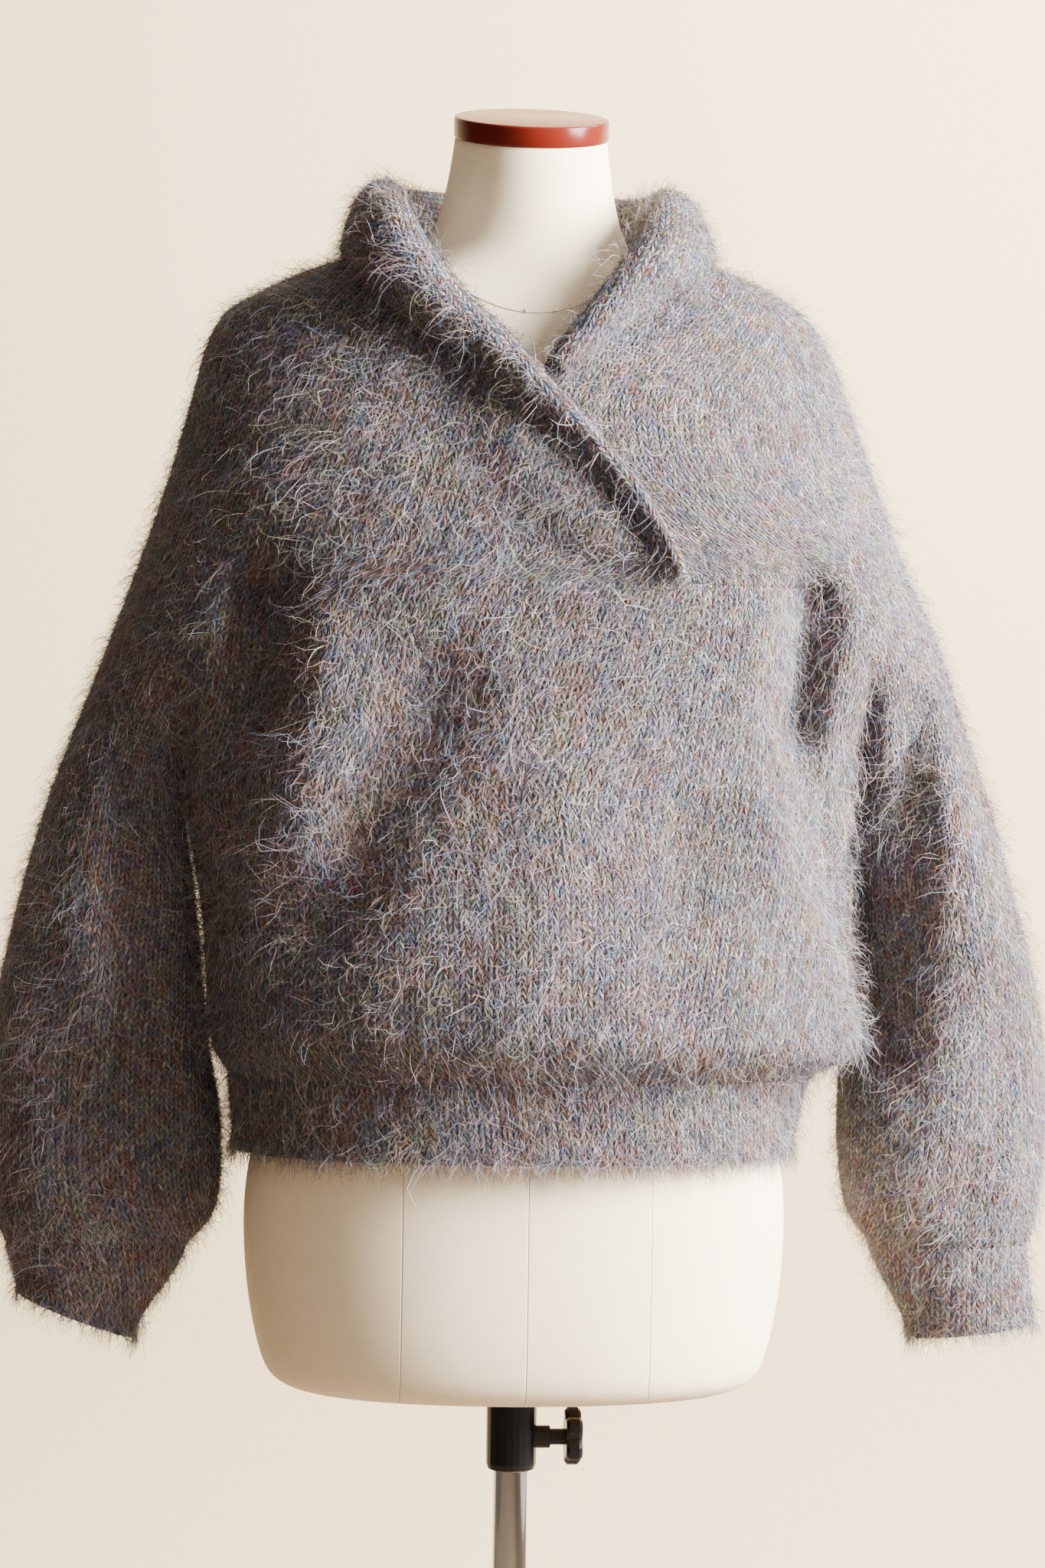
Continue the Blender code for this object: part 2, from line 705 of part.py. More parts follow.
def build_sweater(finish):
    """Front, under front, back, sleeves, cuffs, hem band and collar."""
    cloth = Cloth()
    lap_row = [row[0] for row in YOKE_ROWS].index(LAP_START_Z)
    split_row = len(YOKE_ROWS) - 1
    below = BODY_ROWS[1:]
    front_left = front_grid(LEFT, 11, below)
    front_right = front_grid(RIGHT, 8, below)[:, ::-1]
    back = back_grid(14, below)
    side_left = side_grid(front_left[split_row:, 0], back[split_row:, 0], 2)
    side_right = side_grid(front_right[split_row:, -1], back[split_row:, -1], 2)
    cloth.add("front", front_left)
    cloth.add("front", front_right[lap_row:])
    cloth.add("under_front", front_right[:lap_row + 1])
    cloth.add("front", side_left[:, :2], flip=True)
    cloth.add("front", side_right[:, :2])
    cloth.add("back", back, flip=True)
    cloth.add("back", side_left[:, 1:], flip=True)
    cloth.add("back", side_right[:, 1:])
    for side in (LEFT, RIGHT):
        yoke = yoke_grid(side, FRONT, 7)
        if side == LEFT:
            cloth.add("front", yoke)
        else:
            cloth.add("under_front", yoke[:lap_row + 1], flip=True)
            cloth.add("front", yoke[lap_row:], flip=True)
        cloth.add("back", yoke_grid(side, BACK, 7), flip=side == LEFT)
        name = "left" if side == RIGHT else "right"
        sleeve = sleeve_grid(side, 7, 2)
        cloth.add("sleeve_" + name, sleeve[:, :-1], flip=side == RIGHT, closed=True)
        cuff = cuff_grid(side, sleeve[-1, :-1], 2)
        cloth.add("cuff_" + name, cuff, flip=side == RIGHT, closed=True)
    ring = loop_grid([
        front_left[-1:], front_right[-1:], side_right[-1:], back[-1:, ::-1], side_left[-1:, ::-1],
    ])[0, :-1]
    cloth.add("hem_band", band_grid(ring), closed=True)
    normals = cloth.normals()
    made = [add_object(piece, *cloth.walled(piece, normals), finish) for piece in cloth.pieces]
    roll = Cloth()
    roll.add("shawl_collar", collar_grid(), flip=True)
    walled = roll.walled("shawl_collar", roll.normals(), COLLAR_WALL)
    return made + [add_object("shawl_collar", *walled, finish)]


def round_ring(radius, height, sides=ROUND_SIDES, axis="z"):
    """A ring of points round the z axis at this height, or round the x axis at this x."""
    turn = np.arange(sides) * 2 * math.pi / sides
    wide, high = radius * np.cos(turn), radius * np.sin(turn)
    level = np.full(sides, float(height))
    return np.stack([wide, high, level] if axis == "z" else [level, wide, high], axis=-1)


def turned(name, rings, finish, origin=(0, 0, 0), ends=True):
    """One body through a run of rings, closed by flat ends or by joining the last ring to the first."""
    count = len(rings[0])
    points = np.concatenate(rings)
    faces = []
    last = len(rings) - 1 if ends else len(rings)
    for r in range(last):
        low, high = r * count, (r + 1) % len(rings) * count
        for c in range(count):
            d = (c + 1) % count
            faces.append([low + c, low + d, high + d, high + c])
    if ends:
        faces.append(list(range(count))[::-1])
        faces.append(list(range(last * count, last * count + count)))
    return add_object(name, points, faces, finish, origin)


def form_ring(row):
    """A rounded section of the dress form, tipped forward on the neck."""
    z, half_width, front, back, power = row
    turn = np.arange(FORM_SIDES) * 2 * math.pi / FORM_SIDES
    wide = np.sign(np.cos(turn)) * np.abs(np.cos(turn)) ** (2 / power)
    deep = np.sign(np.sin(turn)) * np.abs(np.sin(turn)) ** (2 / power)
    middle, half_depth = (front + back) / 2, (back - front) / 2
    lean = NECK_LEAN * smooth_step((z - NECK_LEAN_FROM) / (FORM_ROWS[-1][0] - NECK_LEAN_FROM))
    y = half_depth * deep
    return np.stack([half_width * wide, middle + y, z + y * np.tan(lean)], axis=-1)


def build_form(cover, lacquer):
    """The padded form with the bore for its pole, and the cap on its neck."""
    bore = [round_ring(BORE_RADIUS, z, FORM_SIDES) for z in (BORE_TOP, FORM_ROWS[0][0])]
    body = turned("form_body", bore + [form_ring(row) for row in FORM_ROWS], cover)
    z, _, front, back, _ = FORM_ROWS[-1]
    normal = np.array([0, -math.sin(NECK_LEAN), math.cos(NECK_LEAN)])
    seat = np.array([0, (front + back) / 2, z]) + RUNNING_GAP * normal
    rings = []
    for radius, up in ((CAP_RADIUS - 1.2, 0), (CAP_RADIUS, 1.2), (CAP_RADIUS, CAP_THICKNESS - 2),
                       (CAP_RADIUS - 2, CAP_THICKNESS)):
        flat = round_ring(radius, 0, FORM_SIDES)
        forward = flat[:, 1:2] * np.array([[0, math.cos(NECK_LEAN), math.sin(NECK_LEAN)]])
        rings.append(seat + flat * np.array([1, 0, 0]) + forward + up * normal)
    return [body, turned("neck_cap", rings, lacquer)]


def build_stand(enamel, chrome):
    """The weighted base with its socket, and the pole in it."""
    socket = POLE_RADIUS + RUNNING_GAP + 0.1
    profile = [
        (BASE_RADIUS - 3, 0), (BASE_RADIUS, 3), (BASE_RADIUS, 8), (BASE_RADIUS - 5, 12), (62, 17),
        (27, 20), (21, 25), (19, HUB_HEIGHT - 2), (17, HUB_HEIGHT), (socket, HUB_HEIGHT),
        (socket, SOCKET_FLOOR),
    ]
    turned("stand_base", [round_ring(r, z, 40) for r, z in profile], enamel)
    pole = [
        (POLE_RADIUS - 0.8, SOCKET_FLOOR + RUNNING_GAP), (POLE_RADIUS, SOCKET_FLOOR + RUNNING_GAP + 0.8),
        (POLE_RADIUS, POLE_TOP - 1), (POLE_RADIUS - 1, POLE_TOP),
    ]
    turned("stand_pole", [round_ring(r, z) for r, z in pole], chrome)


def cutter(name, rings, target, operation):
    """A hidden body that is joined to the target or cut from it."""
    tool = turned(name, rings, target.data.materials[0])
    tool.hide_render = True
    tool.display_type = "WIRE"
    change = target.modifiers.new(name, "BOOLEAN")
    change.operation = operation
    change.object = tool
    change.solver = "EXACT"
    return tool


def lobed_ring(scale, x):
    """A ring of the knob's lobed outline at this x."""
    sides = KNOB_LOBES * 8
    turn = np.arange(sides) * 2 * math.pi / sides
    swell = (0.5 + 0.5 * np.cos(KNOB_LOBES * turn)) ** 0.7
    radius = scale * (KNOB_WAIST + (KNOB_RADIUS - KNOB_WAIST) * swell)
    level = np.full(sides, float(x))
    return np.stack([level, radius * np.cos(turn), radius * np.sin(turn)], axis=-1)


def build_clamp(plastic):
    """The clamp collar on the pole, and the lobed knob on its screw."""
    outline = [
        (CLAMP_RADIUS - 4, CLAMP_BOTTOM), (CLAMP_RADIUS - 1.2, CLAMP_BOTTOM + 1.2),
        (CLAMP_RADIUS, CLAMP_BOTTOM + 4.5), (CLAMP_RADIUS, CLAMP_TOP - 1), (CLAMP_RADIUS - 1, CLAMP_TOP),
    ]
    clamp = turned("clamp_collar", [round_ring(r, z) for r, z in outline], plastic)
    lift = np.array([0, 0, SCREW_Z])
    boss = [round_ring(BOSS_RADIUS, x, axis="x") + lift for x in (8, BOSS_END)]
    bore = [round_ring(CLAMP_BORE, z) for z in (CLAMP_BOTTOM - 5, CLAMP_TOP + 5)]
    hole = [round_ring(STUD_HOLE, x, axis="x") + lift for x in (6, BOSS_END + 5)]
    tools = [
        cutter("boss_blank", boss, clamp, "UNION"),
        cutter("bore_cutter", bore, clamp, "DIFFERENCE"),
        cutter("screw_cutter", hole, clamp, "DIFFERENCE"),
    ]
    profile = [
        (STUD_RADIUS, POLE_RADIUS + RUNNING_GAP), (STUD_RADIUS, BOSS_END + RUNNING_GAP),
        (KNOB_HUB_RADIUS, BOSS_END + RUNNING_GAP), (KNOB_HUB_RADIUS, KNOB_HUB_END),
    ]
    rings = [round_ring(r, x, KNOB_LOBES * 8, "x") for r, x in profile]
    grip = [(0.88, KNOB_HUB_END), (1, KNOB_HUB_END + 2), (1, KNOB_END - 2), (0.88, KNOB_END)]
    rings += [lobed_ring(scale, x) for scale, x in grip]
    knob = turned("clamp_knob", [ring + lift for ring in rings], plastic, tuple(lift))
    return clamp, knob, tools


def main():
    """Build every piece."""
    clear_scene()
    knit = material("mohair", (0.30, 0.28, 0.28), 0.9)
    cover = material("cotton_cover", (0.86, 0.82, 0.74), 0.85)
    lacquer = material("lacquered_cap", (0.36, 0.07, 0.03), 0.2)
    plastic = material("black_plastic", (0.015, 0.015, 0.016), 0.35)
    chrome = material("chrome", (0.8, 0.8, 0.8), 0.12, 1.0)
    enamel = material("enamelled_base", (0.04, 0.04, 0.042), 0.45)
    slide = add_empty("height_slide", (0, 0, CLAMP_BOTTOM))
    swivel = add_empty("form_swivel", (0, 0, FORM_ROWS[0][0]))
    build_stand(enamel, chrome)
    clamp, knob, tools = build_clamp(plastic)
    carry(swivel, build_sweater(knit) + build_form(cover, lacquer))
    carry(slide, [swivel, clamp, knob] + tools)


main()
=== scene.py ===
"""The mohair sweater on its dress form: brushed knit cloth with its nap, cotton form and stand."""

import math
from collections import namedtuple

import bpy
import numpy as np
from mathutils import Matrix, Vector
from mathutils.bvhtree import BVHTree


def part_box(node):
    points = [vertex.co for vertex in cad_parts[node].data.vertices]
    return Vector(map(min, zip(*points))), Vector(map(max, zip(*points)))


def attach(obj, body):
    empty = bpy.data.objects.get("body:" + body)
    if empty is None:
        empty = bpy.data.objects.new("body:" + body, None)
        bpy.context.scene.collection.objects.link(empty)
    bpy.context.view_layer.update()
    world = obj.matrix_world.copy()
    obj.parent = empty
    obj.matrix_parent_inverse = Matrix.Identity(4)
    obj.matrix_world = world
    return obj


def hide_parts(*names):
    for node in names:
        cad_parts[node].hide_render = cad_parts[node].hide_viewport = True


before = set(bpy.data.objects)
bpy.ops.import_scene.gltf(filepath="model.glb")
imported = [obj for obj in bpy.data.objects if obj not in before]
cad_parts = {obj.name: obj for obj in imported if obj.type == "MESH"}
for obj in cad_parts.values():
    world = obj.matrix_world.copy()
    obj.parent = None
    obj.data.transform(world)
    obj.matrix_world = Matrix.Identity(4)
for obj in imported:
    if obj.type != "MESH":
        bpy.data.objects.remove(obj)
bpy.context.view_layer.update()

MM = 0.001
UP = np.array([0, 0, 1.0])
FRONT = -1
BACK = 1
LEFT = -1
RIGHT = 1

# The camera: distance from the form's axis, turn round it, height, aim and tilt of the frame
CAMERA_DISTANCE = 2.5
CAMERA_TURN = math.radians(4.4)
CAMERA_HEIGHT = 1.0115
CAMERA_ASIDE = 0.0016
CAMERA_ROLL = math.radians(0.75)
CAMERA_LENS = 93.07

# The cloth, in millimetres: how far it lies inside its solid, its wall, and finer rows and columns
CLOTH_INSET = 1.6
CLOTH_WALL = 1.4
FINER = 3
SPLIT_Z = 1000.0
BLEND_HEIGHT = 110.0
SADDLE_HALF = 22.0
BODY_ROUND = 2.4
YOKE_ROUND = 0.55
ARM_SWING = 0.9 * math.pi
LAP_START_Z = 1130.0
LAP_RISE = 6.0
LAP_LIFT = 7.0
LAP_RAMP = 42.0
LAP_EDGE_REACH = 1.0
LAPEL_TOP = 1262.0
LAPEL_BLEND = 40.0
RIM_HIGH = 6.0
ARM_GAP_X = 196.0
ARM_GAP_HALF = 13.0
HEM_TOP_Z = 860.0
BESIDE_INSET = 0.2
STITCH_WIDE = 6.6
STITCH_HIGH = 4.8
STITCH_SLANT = 0.26

# Columns and rows of the cloth's grids, and the column of the side seam
FRONT_COLUMNS = 33
UNDER_COLUMNS = 24
BACK_COLUMNS = 42
SIDE_COLUMNS = 6
SIDE_SEAM = 3
ARM_COLUMNS = 18
CUFF_ROWS_DOWN = 8

# Rows of the yoke: height at the body's columns, height at the overarm line, spread of the fan
YOKE_ROWS = [
    (1340, 1318, 0.00), (1332, 1312, 0.40), (1323, 1305, 0.66), (1313, 1296, 0.84),
    (1301, 1285, 0.94), (1287, 1272, 1.00), (1270, 1258, 1.00), (1252, 1244, 1.00),
    (1232, 1229, 1.00), (1210, 1214, 1.00), (1188, 1200, 1.00), (1167, 1187, 1.00),
    (1148, 1174, 1.00), (1136, 1165, 1.00), (1130, 1158, 1.00), (1112, 1149, 1.00),
    (1090, 1139, 1.00), (1068, 1129, 1.00), (1046, 1120, 1.00), (1023, 1110, 1.00),
    (1000, 1100, 1.00),
]
LAP_ROW = 14
BODY_ROWS = [1000, 974, 948, 922, 898, 878, 863, 852, 844, 838, 834]
BAND_ROWS = [834, 812, 787]

# Rows of a sleeve: height at its inner line, height at its outer line
SLEEVE_ROWS = [
    (1000, 1100), (984, 1074), (962, 1042), (936, 1004), (905, 962), (872, 916), (838, 868),
    (804, 822), (772, 778), (752, 753), (738, 738), (727, 727),
]

# Height, then outer line, inner line or crease and middle y of the left arm and of the right
# arm, and the half depth of both
ARM = [
    (727, -314, -200, 20, 327, 226, 30, 44), (738, -320, -189, 20, 331, 217, 30, 50),
    (752, -323, -182, 20, 334, 211, 30, 55), (772, -324, -180, 20, 336, 208, 30, 59),
    (800, -324, -180.5, 20, 337, 206, 30, 61), (840, -323, -187, 18, 336, 207, 28, 62),
    (880, -320, -193.5, 14, 330, 210, 24, 62), (920, -312, -197, 9, 319, 212, 14, 62),
    (960, -302, -202, 4, 306, 211, 6, 61), (1000, -290, -207, 0, 293, 207, 0, 60),
    (1060, -268, -207, 0, 273, 207, 0, 60), (1100, -253, -206, 0, 260, 205, 0, 60),
    (1150, -235, -192, 0, 237, 189, 0, 60), (1205, -217, -176, 0, 217, 171, 0, 60),
    (1250, -205, -166, 0, 201, 159, 0, 60), (1277, -198, -158, 0, 191, 152, 0, 60),
    (1298, -187, -146, 0, 178, 142, 0, 60), (1313, -163, -128, 0, 160, 126, 0, 60),
    (1328, -130, -104, 0, 128, 103, 0, 60), (1340, -78, -70, 0, 78, 70, 0, 60),
]

# Height, depth of the front and of the back from the middle plane
BODY_DEPTH = [
    (787, 123, 124), (812, 125, 126), (834, 129, 129), (844, 137, 134), (863, 147, 140),
    (898, 148, 141), (948, 140, 135), (1000, 136, 128), (1080, 136, 122), (1130, 135, 120),
    (1170, 131, 116), (1205, 124, 110), (1235, 115, 102), (1260, 105, 94), (1280, 95, 88),
    (1298, 85, 82), (1313, 77, 76), (1328, 69, 71), (1340, 62, 67),
]

# Height, then the side edges of the body below the underarm: left and right, front and back
BODY_EDGE = [
    (787, -175, -175, 171, 171), (812, -177, -177, 175, 175), (834, -179, -178, 181, 180),
    (840, -183, -180, 193, 182), (848, -188, -183, 209, 185), (858, -190, -185, 213, 187),
    (875, -191, -187, 210, 190), (900, -192, -190, 206, 194), (925, -194, -192, 203, 197),
    (960, -199, -198, 203, 201), (1000, -207, -207, 207, 207),
]

# Height, edge of the upper lap and edge of the front that lies under it
LAP_EDGES = [
    (787, 40, 40), (900, 62, 62), (1000, 76, 76), (1130, 90, 90), (1136, 86.5, 88),
    (1148, 80, 58), (1167, 70, 28), (1188, 56, 6), (1210, 40, -7), (1232, 22, -9),
    (1252, 4, -3), (1261, -3, 4), (1270, -10, 10), (1287, -24, 22), (1301, -38, 34),
    (1313, -49, 44), (1323, -58, 53), (1332, -67, 63), (1340, -74, 74),
]

# Folds of the front and of the back: start x and z, end x and z, half width and depth, a ridge
# being below zero
FOLDS = {
    FRONT: [
        (-159, 1126, -166, 1062, 17, 28), (-178, 1040, -184, 935, 12, 9), (166, 1122, 159, 1050, 17, 28),
        (162, 1030, 196, 925, 13, 9), (-126, 1090, -142, 975, 22, -7), (-58, 1062, -126, 925, 27, 13),
        (92, 985, 80, 885, 24, 6), (20, 1010, -10, 880, 26, -4), (138, 1000, 178, 905, 16, -6),
        (238, 1060, 232, 850, 15, 14), (-232, 1040, -238, 850, 16, 8), (-285, 900, -262, 770, 18, 7),
        (306, 860, 278, 760, 18, 7),
    ],
    BACK: [
        (-162, 1118, -170, 1050, 18, 24), (162, 1118, 168, 1050, 18, 24), (-70, 1100, -118, 930, 26, 10),
        (64, 1080, 110, 915, 26, 9), (0, 1060, 8, 890, 30, -5), (-240, 1030, -246, 860, 16, 9),
        (240, 1030, 244, 860, 16, 9),
    ],
}
DEEPEST_FOLD = 0.55

# Cuffs: side, outer end x and z, inner end x and z, middle y and half depth at the lower edge
CUFF_ENDS = {
    LEFT: (-307, 695, -232, 668, 22, 35),
    RIGHT: (333, 677, 252, 668, 32, 35),
}

# Collar stations round the neck: inner foot x and z, outer foot x and z, crest height and the
# crest's shift to the neck side, as a part of the width; then those that stand on the back
COLLAR_STATIONS = [
    (85, 1137, 79.5, 1133, 4.5, 0.0), (78.5, 1151, 72.5, 1146, 5, 0.0),
    (63.5, 1177.5, 56.5, 1172, 6, 0.0), (43, 1204, 34.5, 1197.5, 7, 0.0),
    (21.5, 1229.5, 10.5, 1221.5, 8.5, 0.0), (-0.5, 1253, -15, 1242, 11, 0.0),
    (-19, 1275.5, -39, 1261.5, 15, 0.0), (-36, 1292, -62, 1275, 19, 0.0),
    (-51, 1308.5, -82, 1289, 24, 0.03), (-63, 1323, -99, 1304.5, 30, 0.08),
    (-68, 1329.5, -104.5, 1312.5, 33, 0.12), (-73, 1336, -110, 1320, 36, 0.17),
    (-77, 1340, -113, 1331, 40, 0.26), (-70, 1340, -106, 1322, 46, 0.25),
    (-54, 1340, -84, 1313, 51, 0.20), (-30, 1340, -48, 1306, 55, 0.12),
    (0, 1340, 0, 1303, 56, 0.08), (30, 1340, 48, 1306, 55, 0.12),
    (54, 1340, 82, 1313, 49, 0.24), (70, 1340, 104, 1322, 43, 0.36),
    (77, 1340, 112, 1332, 38, 0.42), (70, 1336, 109, 1322, 34, 0.30),
    (60, 1326, 95, 1309, 29, 0.18), (47, 1313, 76, 1299, 24, 0.07),
    (34, 1298, 55, 1286, 18, 0.02), (20, 1280, 36, 1270, 12, 0.0),
    (9, 1267, 21, 1258.5, 8, 0.0), (5, 1260.5, 13.5, 1254, 5, 0.0),
]
COLLAR_BEHIND = range(13, 20)
COLLAR_WALL = 2.4
COLLAR_CLEAR = 1.9
COLLAR_SPAN = 24
COLLAR_FULLNESS = 0.92
COLLAR_FINER = 4
COLLAR_LIES = 14
COLLAR_STANDS = 54

# The room's light from its dim side, from before and behind, and from its window side
ROOM_LIGHT = [
    (0.0, (0.14, 0.115, 0.095, 1)), (0.5, (0.42, 0.385, 0.35, 1)), (1.0, (1.1, 1.06, 1.0, 1)),
]

# Lamps: name, place, aim, size, power and colour
LAMPS = [
    ("window", (1.75, -0.75, 1.8), (0, 0, 1.1), (0.8, 1.5), 530, (1.0, 0.985, 0.97)),
    ("fill", (0.4, -2.8, 1.4), (0.1, 0, 1.0), (1.6, 2.0), 5, (1.0, 0.93, 0.86)),
    ("wall_wash", (1.0, 0.4, 2.3), (1.0, 1.4, 1.0), (2.0, 0.5), 60, (1.0, 0.96, 0.90)),
]

# The floor and wall behind: size, the wall's place and height, and how high the floor's tone reaches
FLOOR_SIZE = 6.0
WALL_Y = 1.4
WALL_HIGH = 3.4
FLOOR_TO_Z = 0.08

# Form: its weave and seams, its cap, lowest level and rise of the neckline string, and two pins
WEAVE_TURNS = 5200.0
FRONT_SEAM_TOP = 1.2
PANEL_SEAM_X = 0.074
CAP_RADIUS = 0.0475
CAP_DEPTH = 0.013
CAP_LEAN = math.radians(16)
CAP_LOWERED = Vector((0, 0, -0.001))
STRING_LOW = 1.294
STRING_RISE = 0.06
STRING_LEVEL_OFF = 0.9
PIN_PLACES = [-0.006, 0.012]
PIN_HEAD = 0.0011

# The stand's base and pole: radius and height up their sides
BASE_PROFILE = [
    (0.1620, 0), (0.1640, 0.0008), (0.1650, 0.003), (0.1650, 0.008), (0.1635, 0.0105),
    (0.1600, 0.012), (0.110, 0.0145), (0.062, 0.017), (0.036, 0.019), (0.0270, 0.0205),
    (0.0225, 0.0235), (0.0205, 0.027), (0.0190, 0.044), (0.0180, 0.0455), (0.0168, 0.046),
    (0.0115, 0.046),
]
POLE_PROFILE = [(0.0104, 0.0083), (0.0111, 0.009), (0.0111, 0.3), (0.0111, 0.899), (0.0103, 0.9)]

# Yarn colours of the brushed knit, in the order in which they run into each other
YARNS = [
    (88, 80, 92), (92, 105, 132), (138, 155, 180), (120, 112, 138), (160, 144, 164),
    (186, 156, 156), (160, 102, 84), (114, 88, 77), (150, 126, 104), (190, 178, 160),
    (128, 130, 100), (158, 168, 148), (104, 126, 132), (146, 140, 140), (204, 202, 202),
]
PALE_YARNS = [2, 4, 5, 11, 14, 14]


# Shapes of the cloth


def read_table(rows, key):
    """A table's columns at key, on a smooth curve that never overshoots its rows."""
    grid = np.array(rows, float)
    keys, values = grid[:, 0], grid[:, 1:]
    slopes = np.diff(values, axis=0) / np.diff(keys)[:, None]
    same_way = slopes[:-1] * slopes[1:] > 0
    total = np.where(same_way, slopes[:-1] + slopes[1:], 1.0)
    inner = np.where(same_way, 2 * slopes[:-1] * slopes[1:] / total, 0)
    tangents = np.vstack([slopes[:1], inner, slopes[-1:]])
    key = np.clip(np.asarray(key, float), keys[0], keys[-1])
    low = np.clip(np.searchsorted(keys, key) - 1, 0, len(keys) - 2)
    step = (keys[low + 1] - keys[low])[..., None]
    t = (key - keys[low])[..., None] / step
    rise = 3 * t**2 - 2 * t**3
    value = (1 - rise) * values[low] + rise * values[low + 1]
    value = value + step * (t * (1 - t) ** 2 * tangents[low] - t**2 * (1 - t) * tangents[low + 1])
    return np.moveaxis(value, -1, 0)


def finer(rows, times=FINER):
    """A table with rows added between its own."""
    rows = np.array(rows, float)
    place = np.arange(len(rows))
    wanted = np.linspace(0, len(rows) - 1, (len(rows) - 1) * times + 1)
    if rows.ndim == 1:
        return np.interp(wanted, place, rows)
    return np.stack([np.interp(wanted, place, column) for column in rows.T], axis=1)


def smooth_step(t):
    """0 below 0, 1 above 1 and an S-curve between."""
    t = np.clip(t, 0.0, 1.0)
    return t * t * (3 - 2 * t)


def arch(part, power=2.0, root=0.5):
    """Height of a rounded arch, from 1 at part 0 down to 0 at part 1."""
    return (1 - np.clip(np.abs(part), 0, 1) ** power) ** root


def arch_end(height, power=2.0, root=0.5):
    """Where such an arch is this high."""
    return (1 - height ** (1 / root)) ** (1 / power)


def folded(height, x, z, face):
    """Cloth height over the middle plane with this face's folds pressed in."""
    depth = np.zeros_like(x, float)
    for x0, z0, x1, z1, width, deep in FOLDS[face]:
        along = ((x - x0) * (x1 - x0) + (z - z0) * (z1 - z0)) / ((x1 - x0) ** 2 + (z1 - z0) ** 2)
        along = np.clip(along, 0, 1)
        away = np.hypot(x - x0 - along * (x1 - x0), z - z0 - along * (z1 - z0))
        depth = depth + deep * np.exp(-((away / width) ** 2))
    return height - np.minimum(depth, DEEPEST_FOLD * height)


def arm_line(z, side):
    """Outer line, inner line or crease, middle y and half depth of one arm."""
    row = read_table(ARM, z)
    return (*row[:3], row[6]) if side == LEFT else tuple(row[3:])


def body_depth(z, face):
    """Depth of the body's front or back."""
    return read_table(BODY_DEPTH, z)[0 if face == FRONT else 1]


def body_edge(z, side, face):
    """The body's side edge below the underarm."""
    return read_table(BODY_EDGE, z)[(0 if side == LEFT else 2) + (0 if face == FRONT else 1)]


def whole_height(x, z, face):
    """Height of the yoke, where body and arms are one round."""
    left, right = arm_line(z, LEFT)[0], arm_line(z, RIGHT)[0]
    middle, half = (left + right) / 2, (right - left) / 2
    return body_depth(z, face) * arch((x - middle) / half, BODY_ROUND, YOKE_ROUND)


def body_height(x, z, face):
    """Height of the body alone, between its creases or side edges."""
    depth = body_depth(z, face)
    above = z > SPLIT_Z
    left = np.where(above, arm_line(z, LEFT)[1], body_edge(z, LEFT, face))
    right = np.where(above, arm_line(z, RIGHT)[1], body_edge(z, RIGHT, face))
    end = arch_end(SADDLE_HALF / depth, BODY_ROUND)
    middle, half = (left + right) / 2, (right - left) / 2
    return depth * arch((x - middle) / half * end, BODY_ROUND)


def arm_height(x, z, side):
    """Height of one arm alone over its own middle."""
    outer, inner, _, depth = arm_line(z, side)
    end = arch_end(SADDLE_HALF / depth)
    half = (inner - outer) / (1 + end)
    return depth * arch((x - outer) / half - 1)


def joined(alone, x, z, face):
    """Height of the yoke, running smoothly into body or arm alone below it."""
    blend = smooth_step((z - SPLIT_Z) / BLEND_HEIGHT)
    return (1 - blend) * alone + blend * whole_height(x, z, face)


def body_points(x, z, face):
    """Points of the body at these places."""
    height = folded(joined(body_height(x, z, face), x, z, face), x, z, face)
    return np.stack([x, face * height, z], axis=-1)


def arm_points(part, spread, z, side, face):
    """Points of an arm at parts of the way in from its outer line."""
    outer, inner, middle, _ = arm_line(z, side)
    x = outer + part * spread * (inner - outer)
    height = folded(joined(arm_height(x, z, side), x, z, face), x, z, face)
    return np.stack([x, middle + face * height, z], axis=-1)


def arm_parts(count):
    """Parts of the way round half an arm, closer together at its ends."""
    turn = np.linspace(0, ARM_SWING, count + 1)
    return (1 - np.cos(turn)) / (1 - np.cos(turn[-1]))


def edge_parts(count):
    """Parts of the way over the body, closer together at its crease."""
    t = np.linspace(0, 1, count + 1)
    return 0.5 * t + 0.5 * (1 - np.cos(t * math.pi / 2))


def lap_rise(x, z):
    """How far the upper lap stands off the front that lies under it."""
    under = read_table(LAP_EDGES, z)[1]
    reach = smooth_step((x - under + LAP_RAMP) / LAP_RAMP)
    return LAP_LIFT * reach * np.clip((z - LAP_START_Z) / LAP_RISE, 0, 1)


def arm_rows(rows, columns):
    """Finer rows of an arm, its columns' parts of the way round, and the heights there."""
    rows = finer(rows)
    part = arm_parts(columns)[None, :]
    return rows, part, rows[:, 1:2] + part * (rows[:, 0:1] - rows[:, 1:2])


def yoke_grid(side, face):
    """The yoke over one arm, from its overarm line to the body."""
    rows, part, z = arm_rows(YOKE_ROWS, ARM_COLUMNS)
    return arm_points(part, rows[:, 2:3], z, side, face)


def crease_x(side, face, z, spread):
    """The body's outermost x at this height."""
    outer, inner = arm_line(z, side)[:2]
    return np.where(z < SPLIT_Z, body_edge(z, side, face), outer + spread * (inner - outer))


def body_heights():
    """Heights and fans of the body's rows, above and below the underarm."""
    yoke = finer(YOKE_ROWS)
    below = finer(BODY_ROWS)[1:]
    heights = np.concatenate([yoke[:, 0], below])
    fans = np.concatenate([yoke[:, 2], np.ones(len(below))])
    return heights[:, None], fans[:, None]


def front_grid(side, columns):
    """The front from the crease of one side to the lap's edge or the edge under it."""
    z, spread = body_heights()
    crease = crease_x(side, FRONT, z, spread)
    edge = read_table(LAP_EDGES, z)[0 if side == LEFT else 1]
    x = crease + edge_parts(columns)[None, :] * (edge - crease)
    points = body_points(x, z + 0 * x, FRONT)
    if side == LEFT:
        points[..., 1] -= lap_rise(x, z + 0 * x)
    return points


